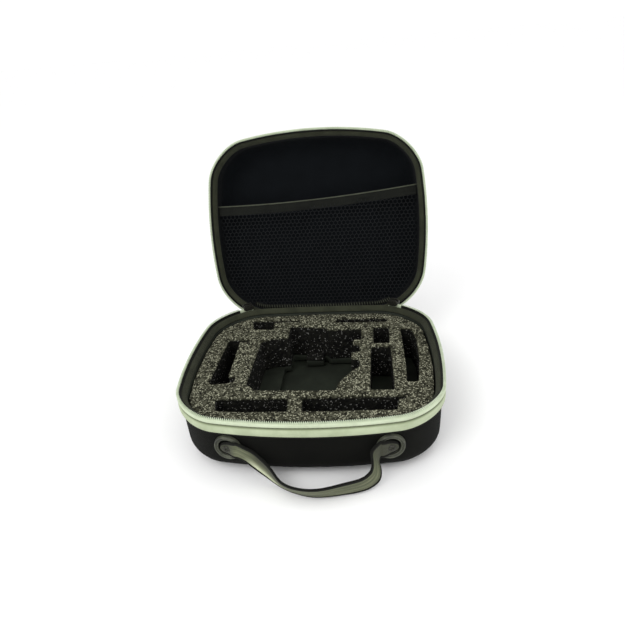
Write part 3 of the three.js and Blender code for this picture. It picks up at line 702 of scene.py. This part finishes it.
# Two soft lobes with a sewn groove between them.
TAPE_SECTION = [
    (-0.15, 33.8), (0.6, 33.5), (1.2, 34.2), (1.5, 36), (1.45, 38), (1, 39.3), (0.1, 39.9), (0.1, 40.2),
    (0.9, 40.5), (1.35, 41.1), (1.5, 42), (1.4, 43.1), (0.9, 43.8), (0.1, 43.9), (-0.25, 43.2), (-0.2, 38),
]
PIPING_SECTION = [(-0.55, 32.3), (0.1, 32.1), (0.55, 32.6), (0.6, 33.2), (0.2, 33.6), (-0.5, 33.6)]
STITCH_Z = 40.05 * MM
STITCH_OUT = 0.42 * MM
STITCH_PITCH = 2.6 * MM
STITCH_LENGTH = 1.7 * MM
STITCH_RADIUS = 0.26 * MM
# Each stitch's rings: the share of its length, and how full the thread is there.
STITCH_RINGS = [(-0.5, 0.25), (-0.32, 0.9), (0, 1.05), (0.32, 0.9), (0.5, 0.25)]
THREAD_SIDES = 6
# How far from the middle of the back each strip begins. The sliders stand between.
TAPE_START_X = {"base": 55 * MM, "lid": 63 * MM}
COIL_START_X = 65.2 * MM
COIL_PITCH = 1.25 * MM
COIL_SIZE = (0.7 * MM, 0.5 * MM)
COIL_DROP = 0.1 * MM  # so that the closed coils just clear each other
COIL_MIDDLE = 0.55 * MM
COIL_WIRE = 0.3 * MM
COIL_TURN_STEPS = 10


def coil_object(name, middle_z):
    """A continuous helix of monofilament, laid along the rim."""
    start = RIM.back_distance(COIL_START_X)
    count = int((RIM.length - 2 * start) / COIL_PITCH) * COIL_TURN_STEPS
    distances = np.linspace(start, RIM.length - start, count)
    angle = np.arange(count) * 2 * math.pi / COIL_TURN_STEPS
    x, y, nx, ny = RIM.at(distances).T
    out = COIL_MIDDLE + COIL_SIZE[0] * np.cos(angle)
    path = np.stack([x + nx * out, y + ny * out, middle_z + COIL_SIZE[1] * np.sin(angle)], 1)
    middle = np.stack([x + nx * COIL_MIDDLE, y + ny * COIL_MIDDLE, np.full(count, middle_z)], 1)
    ahead = unit(np.gradient(path, axis=0))
    outward = path - middle
    outward = unit(outward - (outward * ahead).sum(1)[:, None] * ahead)
    side = np.cross(ahead, outward)
    around = np.arange(THREAD_SIDES) * 2 * math.pi / THREAD_SIDES
    points = (
        path[:, None]
        + COIL_WIRE * np.cos(around)[None, :, None] * outward[:, None]
        + COIL_WIRE * np.sin(around)[None, :, None] * side[:, None]
    )
    v = np.linspace(0, 2 * math.pi * COIL_WIRE, THREAD_SIDES + 1)
    return grid_object(name, points, distances, v, wrap_v=True, caps=True)


def thread_ring(x, y, z, across, radius):
    """Points round a thread at one place along it. across is level, and square to the thread."""
    angles = [2 * math.pi * k / THREAD_SIDES for k in range(THREAD_SIDES)]
    sides = [(radius * math.cos(a), radius * math.sin(a)) for a in angles]
    return [(x + across[0] * side, y + across[1] * side, z + rise) for side, rise in sides]


def stitch_tube(s, z):
    """One short stitch of thread that lies along the rim."""
    rings = []
    for share, swell in STITCH_RINGS:
        x, y, nx, ny = RIM.at(s + share * STITCH_LENGTH)
        out = STITCH_OUT - (abs(share) * 2) ** 3 * STITCH_RADIUS
        rings.append(thread_ring(x + nx * out, y + ny * out, z, (nx, ny), STITCH_RADIUS * swell))
    return rings


def groove_distance():
    """How far across the tape's face its sewn groove is."""
    section = smooth_section(TAPE_SECTION) * MM
    face = section[: len(section) // 2 + 2]
    return float(section_lengths(section)[np.argmin(np.abs(face[:, 1] - STITCH_Z))])


def make_rim(body, tape_cloth):
    """One half of the zipper and its binding, made with the lid closed."""
    start_x = TAPE_START_X[body]
    coil_z = (coil_low.z + coil_high.z) / 2 - COIL_DROP
    stitch_z = STITCH_Z
    if body == "lid":
        coil_z, stitch_z = 2 * CLOSURE_Z - coil_z, 2 * CLOSURE_Z - stitch_z

    def strip(name, section, start_x=None):
        return rim_strip(f"{name}_{body}", turned_over(section) if body == "lid" else section, start_x)

    def finish(piece, material, slot, *replaced):
        finish_piece(to_lid(piece) if body == "lid" else piece, material, body, replaced)

    finish(strip("binding", BINDING_SECTION), BINDING, "binding", f"{body}_rim_binding")
    finish(strip("tape_backing_shade", SHADED_BACKING_SECTION, COIL_START_X), PIPING, "zip_tape")
    finish(strip("zip_tape", TAPE_SECTION, start_x), tape_cloth, "zip_tape", f"{body}_zip_tape")
    finish(strip("seam_piping", PIPING_SECTION, start_x), PIPING, "binding")
    finish(coil_object(f"zip_coil_{body}", coil_z), COIL, "zip_coil", f"{body}_zip_coil")
    start = RIM.back_distance(start_x) + STITCH_PITCH
    tubes = [stitch_tube(s, stitch_z) for s in np.arange(start, RIM.length - start, STITCH_PITCH)]
    finish(tubes_object(f"band_stitches_{body}", tubes, STITCH_RADIUS), THREAD, "zip_tape")


def make_rims():
    tape_cloth = tape_finish(groove_distance())
    for body in ("base", "lid"):
        make_rim(body, tape_cloth)


# ---- the fabric hinge
# Where the gusset runs at rest, as (y, z): up the base's wall, over, and back along the lid's wall.
GUSSET_PATH = [
    (74.3, 31.6), (74.4, 34.5), (74.5, 36.8), (75.3, 38), (77.2, 37.6), (79.6, 35.3), (82.6, 31.8),
    (86.2, 28.6), (88.6, 27.6), (91.8, 26.9),
]
GUSSET_HALF = 54.2 * MM
GUSSET_THICKNESS = 1.0 * MM
GUSSET_SEAM = 0.42  # how far along the path its sewn ridge is
RIDGE_HEIGHT = 0.5 * MM
RIDGE_SHARE = 0.035
GUSSET_ROWS = 40
GUSSET_COLUMNS = 73


def curve_through(points, count):
    """A smooth curve through the points, evenly spaced along its length."""
    fine = smooth_line(points, 16)
    length = travelled(fine)
    places = np.linspace(0, length[-1], count)
    return np.stack([np.interp(places, length, column) for column in fine.T], 1)


def make_gusset():
    path = curve_through(GUSSET_PATH, GUSSET_ROWS) * MM
    ahead = unit(np.gradient(path, axis=0))
    normal = np.stack([-ahead[:, 1], ahead[:, 0]], 1)
    back_y = RIM.at(0.0)[1]
    xs = np.linspace(-GUSSET_HALF, GUSSET_HALF, GUSSET_COLUMNS)
    rim_y = np.array([RIM.at(math.copysign(RIM.back_distance(abs(x)), x))[1] for x in xs]) - back_y
    walked = np.linspace(0, 1, len(path))
    ridge = RIDGE_HEIGHT * np.exp(-((walked - GUSSET_SEAM) / RIDGE_SHARE) ** 2)
    above = path + normal * (GUSSET_THICKNESS / 2 + ridge)[:, None]
    columns = np.concatenate([above, (path - normal * GUSSET_THICKNESS / 2)[::-1]])
    points = np.zeros((len(xs), len(columns), 3))
    share = np.clip((columns[:, 0] - path[0, 0]) / (path[-1, 0] - path[0, 0]), 0, 1)
    for i, x in enumerate(xs):
        wave = 0.3 * MM * fine_noise((x, 0, 0), 9 * MM, 5) * np.sin(share * math.pi)
        points[i, :, 0] = x
        points[i, :, 1] = columns[:, 0] + rim_y[i] * (1 - share)
        points[i, :, 2] = columns[:, 1] - rim_y[i] * share * math.sin(LID_OPEN) + wave
    v = section_lengths(columns)
    piece = grid_object("hinge_gusset_cloth", points, xs, v, wrap_v=True, caps=True)
    piece.data.materials.append(GUSSET)
    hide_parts("hinge_gusset", "hinge_gusset_root")
    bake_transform(piece)


# ---- foam and pad
FOAM_CELL = 0.8 * MM
PAD_CELL = 0.9 * MM


def modify(piece, name, kind, **settings):
    modifier = piece.modifiers.new(name, kind)
    for key, value in settings.items():
        setattr(modifier, key, value)


def soft_block(node_name, name, cell, rounds):
    """A foam piece made of small cells from its CAD solid, with softened edges."""
    piece = placed(name, frame["nodes"][node_name].data.copy())
    modify(piece, "cells", "REMESH", mode="VOXEL", voxel_size=cell)
    modify(piece, "soft_edges", "SMOOTH", factor=0.5, iterations=rounds)
    bake_modifiers(piece)
    return piece


def make_foam():
    foam = soft_block("foam_insert", "foam_block", FOAM_CELL, 2)
    roughen(foam, 0.2 * MM, 1.1 * MM)
    finish_piece(foam, FOAM, "base", ["foam_insert"])
    pad = soft_block("foam_base_pad", "pad_under_foam", PAD_CELL, 3)
    roughen(pad, 0.06 * MM, 3 * MM)
    finish_piece(pad, PAD, "base", ["foam_base_pad"])


def bake_modifiers(piece):
    """Replaces a piece's mesh by what its modifiers make of it."""
    graph = bpy.context.evaluated_depsgraph_get()
    made = bpy.data.meshes.new_from_object(piece.evaluated_get(graph))
    piece.modifiers.clear()
    piece.data = made
    made.polygons.foreach_set("use_smooth", [True] * len(made.polygons))


def roughen(piece, depth, size):
    """Open cells: each vertex moves in or out along its normal by seeded noise."""
    mesh = piece.data
    co = np.array([vertex.co for vertex in mesh.vertices])
    normal = np.array([vertex.normal for vertex in mesh.vertices])
    random = np.random.default_rng(4).normal(0, 1, len(co))
    cells = np.array([fine_noise(p, size, 2) for p in co])
    moved = co + normal * (depth * (cells + 0.35 * random))[:, None]
    mesh.vertices.foreach_set("co", moved.astype(np.float32).ravel())
    mesh.update()


# ---- net pocket and its elastic
POCKET_INSET = 4.9 * MM
NET_PITCH = 3.3 * MM
NET_STRAND = 0.5 * MM
NET_REACH = 95 * MM  # more than the net's depth
POCKET_Z = 55.0 * MM  # the net's level with the lid closed
ELASTIC_LEFT_Y = -20 * MM
ELASTIC_RIGHT_Y = -30 * MM
ELASTIC_WIDTH = 8 * MM
ELASTIC_SAG = 1.2 * MM


def elastic_y(x):
    """The pocket's free edge, with the lid closed: a slanting line that sags between its ends."""
    share = (x + WIDTH / 2) / WIDTH
    slant = (ELASTIC_RIGHT_Y - ELASTIC_LEFT_Y) * share**1.7
    return ELASTIC_LEFT_Y + slant + ELASTIC_SAG * np.sin(math.pi * share)


def pocket_half_width(y):
    """How far from the middle the lid's wall is at the net's level."""
    x, rim_y, nx, ny = RIM.at(np.linspace(0, RIM.length / 2, 400)).T
    inset_x, inset_y = x - nx * POCKET_INSET, rim_y - ny * POCKET_INSET
    order = np.argsort(inset_y)
    return float(np.interp(y, inset_y[order], inset_x[order]))


# Soft folds in the net: (x, y) at each end with the lid closed, width and height, in mm.
NET_FOLDS = [
    (-39, -10, -62, 18, 3.4, 2), (-11, -10, -28, 14, 3, 1.9), (37, -18, 56, 22, 3.6, 2),
    (20, 8, 19, 36, 3.2, 1.3), (-4, 46, 30, 50, 3.6, 1.2), (66, 4, 44, 44, 4, 1.2),
]


def fold_height(x, y, fold):
    x0, y0, x1, y1, width, height = (value * MM for value in fold)
    dx, dy = x1 - x0, y1 - y0
    length = math.hypot(dx, dy)
    along = ((x - x0) * dx + (y - y0) * dy) / length**2
    aside = ((x - x0) * dy - (y - y0) * dx) / length
    fade = math.exp(-(max(0.0, abs(along - 0.5) - 0.35) / 0.18) ** 2)
    return height * fade * math.exp(-(aside / width) ** 2)


def net_level(x, y):
    """The net's height: it lies slack between the elastic and the seam, with a few soft folds."""
    back = BACK_Y - POCKET_INSET
    share = np.clip((y - elastic_y(x)) / (back - elastic_y(x)), 0, 1)
    width = np.clip(1 - (abs(x) / (WIDTH / 2)) ** 4, 0, 1)
    belly = 1.6 * MM * math.sin(math.pi * min(1.0, share**0.7)) * width
    waves = 0.5 * MM * fine_noise((x, y, 0), 16 * MM, 3) * width
    return POCKET_Z - belly - waves - sum(fold_height(x, y, fold) for fold in NET_FOLDS)


def make_net():
    mesh = bmesh.new()
    side = NET_PITCH / math.sqrt(3)
    rows = int(NET_REACH / (1.5 * side))
    columns = int(WIDTH / NET_PITCH) + 2
    turns = [math.pi / 3 * k for k in range(6)]
    vertices = {}

    def vertex(x, y):
        key = (round(x / MM * 50), round(y / MM * 50))
        if key not in vertices:
            vertices[key] = mesh.verts.new((x, y, net_level(x, y)))
        return vertices[key]

    for row in range(-4, rows + 4):
        y = ELASTIC_RIGHT_Y + ELASTIC_WIDTH + row * 1.5 * side
        for column in range(-columns // 2, columns // 2 + 1):
            x = column * NET_PITCH + (NET_PITCH / 2 if row % 2 else 0)
            if abs(x) > pocket_half_width(y) - 0.6 * NET_PITCH or y > BACK_Y - POCKET_INSET:
                continue
            if y < elastic_y(x) + ELASTIC_WIDTH - 0.8 * NET_PITCH:
                continue
            mesh.faces.new([vertex(x + side * math.sin(a), y + side * math.cos(a)) for a in turns])
    data = bpy.data.meshes.new("net_pocket_mesh")
    mesh.to_mesh(data)
    mesh.free()
    piece = placed("net_pocket_mesh", data)
    modify(piece, "strands", "WIREFRAME", thickness=NET_STRAND, use_even_offset=False)
    bake_modifiers(piece)
    corners = [loop.vertex_index for loop in piece.data.loops]
    places = np.array([v.co for v in piece.data.vertices])
    write_cloth(piece, places[corners])
    to_lid(piece)
    finish_piece(piece, NET, "lid", ["mesh_pocket"])
    return piece


ELASTIC_SECTION = [
    (0, 0.2), (0.1, 1.2), (0.6, 1.7), (1.1, 1.3), (1.5, 0.9), (4, 1.1), (6.6, 0.9), (7.1, 1.2), (7.8, 1),
    (8, 0), (7.7, -0.7), (4, -0.8), (0.4, -0.7),
]
GATHER_PITCH = 2.3 * MM
ELASTIC_STEPS = 220


def make_elastic():
    """A ribbed band, slightly gathered, with a rolled edge along the pocket's mouth in a lighter colour, a
    painted highlight.
    """
    half_left = pocket_half_width(ELASTIC_LEFT_Y) + 0.4 * MM
    half_right = pocket_half_width(ELASTIC_RIGHT_Y) + 0.4 * MM
    xs = np.linspace(-half_left, half_right, ELASTIC_STEPS)
    section = smooth_section(ELASTIC_SECTION, 1)
    points = np.zeros((len(xs), len(section), 3))
    for i, x in enumerate(xs):
        uneven = 1 + 0.6 * fine_noise((x, 0, 0), 6 * MM)
        gather = 0.15 * MM * math.sin(2 * math.pi * x / GATHER_PITCH) * uneven
        points[i, :, 0] = x
        points[i, :, 1] = elastic_y(x) + section[:, 0] * MM
        top = POCKET_Z + 0.2 * MM - section[:, 1] * MM
        points[i, :, 2] = top + gather * np.cos(section[:, 0] / 8 * math.pi * 0.5)
    v = section_lengths(section * MM)
    piece = grid_object("pocket_elastic_band", points, xs, v, wrap_v=True, caps=True)
    finish_piece(to_lid(piece), ELASTIC, "lid", ["pocket_elastic"])
    # The rolled edge gets the lighter roll material, a painted highlight.
    piece.data.materials.append(ROLL)
    second_material(piece, len(section), (section[:, 0] < 1.2) & (section[:, 1] > 0.3))
    return piece


def second_material(piece, columns, chosen):
    """Gives the second material to the faces that lie between chosen columns of a grid."""
    for polygon in piece.data.polygons:
        if len(polygon.vertices) == 4 and all(chosen[v % columns] for v in polygon.vertices):
            polygon.material_index = 1


HEM_END_X = 60 * MM
HEM_STEPS = 140
WHIP_PITCH = 2.2 * MM
WHIP_SLANT = 0.22 * MM
WHIP_RADIUS = 0.24 * MM
# Each whip stitch's rings: outwards and height in mm, and how full the thread is there.
WHIP_RINGS = [(-8.9, -0.25, 0.3), (-8, -0.85, 1), (-6.6, -1.1, 1.1), (-5.2, -0.75, 1), (-4.8, -0.05, 0.3)]


def whip_stitch(s):
    """One stitch over the hem, slanting along it."""
    rings = []
    for k, (out, rise, swell) in enumerate(WHIP_RINGS):
        x, y, nx, ny = RIM.at(s + k * WHIP_SLANT)
        x, y, z = x + nx * out * MM, y + ny * out * MM, POCKET_Z + rise * MM
        rings.append(thread_ring(x, y, z, (ny, -nx), WHIP_RADIUS * swell))
    return rings


def make_hem():
    """The net's sewn lower hem, with whip stitches over it."""
    reach = RIM.back_distance(HEM_END_X)
    distances = np.linspace(-reach, reach, HEM_STEPS)
    low, high = POCKET_Z / MM - 0.9, POCKET_Z / MM + 0.7
    corners = [(-8.6, low + 0.3), (-8.2, high), (-5.2, high), (-4.9, low), (-6.8, low - 0.35)]
    section = smooth_section(corners) * MM
    points = rim_points(distances, section)
    hem = grid_object("net_hem", points, distances, section_lengths(section), wrap_v=True, caps=True)
    finish_piece(to_lid(hem), PIPING, "lid")
    places = np.arange(-reach + 2 * MM, reach, WHIP_PITCH)
    stitches = tubes_object("hem_stitches", [whip_stitch(s) for s in places], 0.3 * MM)
    finish_piece(to_lid(stitches), ROLL, "lid")
    return hem


def make_pocket():
    net = make_net()
    elastic = make_elastic()
    hem = make_hem()


# ---- handle
STRAP_WIDTH = 13.0
STRAP_THICKNESS = 1.5
STRAP_BINDING = 2.1  # how wide the dark binding of each edge is
# The loop's two edges between the rings, from left to right, in mm.
STRAP_LOWER = [
    (-36.6, -74.4, 15), (-32, -75.6, 11.2), (-25, -76.8, 5.6), (-15, -81.2, 1.6), (-4, -86, 1.2),
    (7, -88, 1.1), (22, -86, 1.1), (33, -83.2, 1.1), (39.5, -80.2, 2.2), (42.9, -77.6, 4.6),
    (43.6, -75.6, 9), (42.8, -74.4, 14.2),
]
STRAP_UPPER = [
    (-36.2, -74.6, 27.4), (-30, -75.2, 23.5), (-21.5, -79.7, 17.1), (-13.8, -87.6, 12.3),
    (-3.9, -92.3, 12.1), (8, -92.9, 12.3), (22, -89.4, 13.2), (31.8, -85.6, 13.2), (36.7, -81.9, 14.5),
    (38, -79.1, 16.3), (38, -77.7, 20.2), (38.2, -76.4, 25.6),
]
# The strap's end in its ring: (towards the loop from the ring's middle, half-width, outwards), in mm.
STRAP_END = [
    (-4.4, 0.3, 0.9), (-4.2, 1.7, 0.9), (-3.5, 2.9, 0.9), (-2.3, 3.9, 0.95), (-0.6, 4.6, 1.05),
    (1.2, 5.2, 1.35), (3.2, 5.7, 2.05), (5.2, 6.1, 2.4), (7, 6.3, 2.4),
]
HIGHLIGHT_PLACE = 32 * MM  # the middle of the strap's painted highlight, along it from the left end
HIGHLIGHT_REACH = 18 * MM


def strap_section(width, thickness):
    """Half-width across and thickness, as a flat tube with bound edges, from its lower edge on."""
    half, thick = width / 2, thickness / 2
    edge = [(half - 2.7, 0.9), (half - 2.0, 0.8), (half - 1.0, 1.2), (half, 0.5)]
    face = [(-x, t) for x, t in reversed(edge)] + [(0, 1.0)] + edge
    return smooth_section([(x, t * thick) for x, t in face + [(-x, -t) for x, t in face]])


def strap_edges(side, along, half_width, outwards):
    """The lower and upper edge of the strap's end at one distance from its ring's middle, in mm."""
    place = ring_place(side)
    across = along if side == "left" else -along
    corners = [Vector((across, height, outwards)) * MM for height in (-half_width, half_width)]
    return [tuple((place @ corner) / MM) for corner in corners]


def make_strap():
    left = [strap_edges("left", *row) for row in STRAP_END]
    right = [strap_edges("right", *row) for row in reversed(STRAP_END)]
    low, high = (
        smooth_line([*[pair[k] for pair in left], *edge, *[pair[k] for pair in right]], 7) * MM
        for k, edge in enumerate((STRAP_LOWER, STRAP_UPPER))
    )
    middle = (low + high) / 2
    width = np.linalg.norm(high - low, axis=1)
    across = unit(high - low)
    ahead = unit(np.gradient(middle, axis=0))
    normal = unit(np.cross(across, ahead))
    distances = travelled(middle)
    section = strap_section(STRAP_WIDTH, STRAP_THICKNESS) * MM
    share = section[:, 0] / (STRAP_WIDTH * MM)
    points = (
        middle[:, None]
        + across[:, None] * (share[None, :, None] * width[:, None, None])
        + normal[:, None] * section[None, :, 1, None]
    )
    v = section_lengths(section)
    piece = grid_object("handle_webbing_strap", points, distances, v, wrap_v=True, caps=True)
    piece.data.materials.append(webbing_finish(distances[-1], v[-1]))
    piece.data.materials.append(PIPING)
    second_material(piece, len(section), np.abs(section[:, 0]) > (STRAP_WIDTH / 2 - STRAP_BINDING) * MM)
    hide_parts("handle_strap", "strap_end_left", "strap_end_right")
    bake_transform(piece)


RING_X = {"left": -47.0, "right": 49.5}


def ring_place(side):
    """The ring's middle on the front wall, and its own axes: across, up and outwards."""
    low, high = (Vector(corner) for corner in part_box(f"handle_ring_{side}"))
    s = RIM.length / 2 - RING_X[side] * MM
    for _ in range(20):
        s += RIM.at(s)[0] - RING_X[side] * MM
    x, y, nx, ny = RIM.at(s)
    outward = Vector((nx, ny, 0))
    up = Vector((0, 0, 1))
    place = Matrix((up.cross(outward), up, outward)).transposed().to_4x4()
    place.translation = Vector((x, y, (low.z + high.z) / 2))
    return place


def lathe(name, profile_mm, place, rounds=2, segments=72):
    """A ring turned about its place's own Z, from a closed section of (radius, height)."""
    profile = smooth_section(profile_mm, rounds) * MM
    angles = np.linspace(0, 2 * math.pi, segments + 1)
    points = np.stack([
        np.outer(np.cos(angles[:-1]), profile[:, 0]),
        np.outer(np.sin(angles[:-1]), profile[:, 0]),
        np.broadcast_to(profile[:, 1], (segments, len(profile))),
    ], -1)
    u = angles * profile[:, 0].max()
    piece = grid_object(name, points, u, section_lengths(profile), wrap_u=True, wrap_v=True)
    piece.data.transform(place)
    return piece


RING_SECTION = [
    (8.8, -0.9), (8.6, 0.3), (8.3, 1.5), (7.6, 1.5), (7.3, 0.6), (6.8, 0.6), (6.5, 1.2), (6, 1.1),
    (5.8, -0.9),
]
# A tubular rivet: rolled head, open bore, shank through the wall, and its spread tail.
RIVET_SECTION = [
    (0.75, -6.8), (0.75, 1.9), (1.1, 2.45), (1.7, 2.6), (2.3, 2.3), (2.5, 1.8), (1.5, 1.7), (1.45, -5.9),
    (2.1, -6.2), (2, -6.8),
]


def make_rings():
    for side in ("left", "right"):
        ring = lathe(f"raised_ring_{side}", RING_SECTION, ring_place(side))
        finish_piece(ring, MOULDED, "base", [f"handle_ring_{side}"])
        rivet = lathe(f"tube_rivet_{side}", RIVET_SECTION, ring_place(side), 1, 40)
        finish_piece(rivet, METAL, "base", [f"handle_rivet_{side}"])


# ---- zipper hardware and rivets
WELD_REACH = 0.01 * MM
SHARP_ANGLE = math.radians(35)  # edges that turn more than this are bevelled


def bevelled_copy(node_name, name, width):
    """A CAD piece with its edges rounded off."""
    piece = placed(name, frame["nodes"][node_name].data.copy())
    modify(piece, "weld", "WELD", merge_threshold=WELD_REACH)
    modify(piece, "edges", "BEVEL", width=width, segments=2, limit_method="ANGLE", angle_limit=SHARP_ANGLE)
    bake_modifiers(piece)
    return piece


def make_hardware():
    for side in ("left", "right"):
        slider = bevelled_copy(f"zip_slider_{side}", f"slider_body_{side}", 0.25 * MM)
        finish_piece(slider, METAL, f"slider_{side}", [f"zip_slider_{side}"])
        pull = bevelled_copy(f"zip_pull_{side}", f"pull_tab_{side}", 0.2 * MM)
        finish_piece(pull, METAL, f"pull_{side}", [f"zip_pull_{side}"])
        washer = frame["nodes"][f"rivet_washer_{side}"]
        washer.data.materials.clear()
        washer.data.materials.append(METAL)


# ---- camera, light and floor
CAMERA_TARGET = Vector((2.3, 0, 74.9)) * MM
CAMERA_DISTANCE = 343.2 * MM
CAMERA_AZIMUTH = math.radians(7.0)
CAMERA_ELEVATION = math.radians(27.6)
CAMERA_ROLL = math.radians(-5.1)
LENS = 29.95
LIGHT_TARGET = Vector((0, 0, 50)) * MM
FLOOR_REACH = 40.0


def make_camera():
    data = bpy.data.cameras.new("camera")
    data.lens = LENS
    data.clip_start = 0.01
    camera = placed("camera", data)
    camera.matrix_world = (
        Matrix.Translation(CAMERA_TARGET)
        @ Matrix.Rotation(CAMERA_AZIMUTH, 4, "Z")
        @ Matrix.Rotation(math.pi / 2 - CAMERA_ELEVATION, 4, "X")
        @ Matrix.Rotation(CAMERA_ROLL, 4, "Z")
        @ Matrix.Translation((0, 0, CAMERA_DISTANCE))
    )
    SCENE.camera = camera


def area_light(name, place, size, power):
    data = bpy.data.lights.new(name, "AREA")
    data.size = size
    data.energy = power
    light = placed(name, data)
    light.location = place
    aim = LIGHT_TARGET - Vector(place)
    light.rotation_euler = aim.to_track_quat("-Z", "Y").to_euler()


def make_studio():
    world = bpy.data.worlds.new("studio")
    world.use_nodes = True
    background = world.node_tree.nodes["Background"]
    background.inputs["Color"].default_value = (1, 1, 1, 1)
    background.inputs["Strength"].default_value = 1.03
    SCENE.world = world
    SCENE.view_settings.view_transform = "Standard"
    area_light("key", (-0.45, -0.6, 0.8), 0.5, 3.2)
    area_light("fill", (0.7, -0.3, 0.6), 0.8, 1.0)
    corners = [(x * FLOOR_REACH, y * FLOOR_REACH, 0) for x, y in ((-1, -1), (1, -1), (1, 1), (-1, 1))]
    floor = new_object("floor", corners, [(0, 1, 2, 3)])
    made = Finish("floor_paper", 0.9, specular=0.2)
    grain = made.noise(made.place(), 0.3)
    made.color(made.ramp(grain, [(0.3, (0.97, 0.97, 0.97)), (0.7, (0.98, 0.98, 0.98))]))
    floor.data.materials.append(made.material)


make_camera()
make_studio()
make_shells()
make_rims()
make_gusset()
make_foam()
make_pocket()
make_strap()
make_rings()
make_hardware()
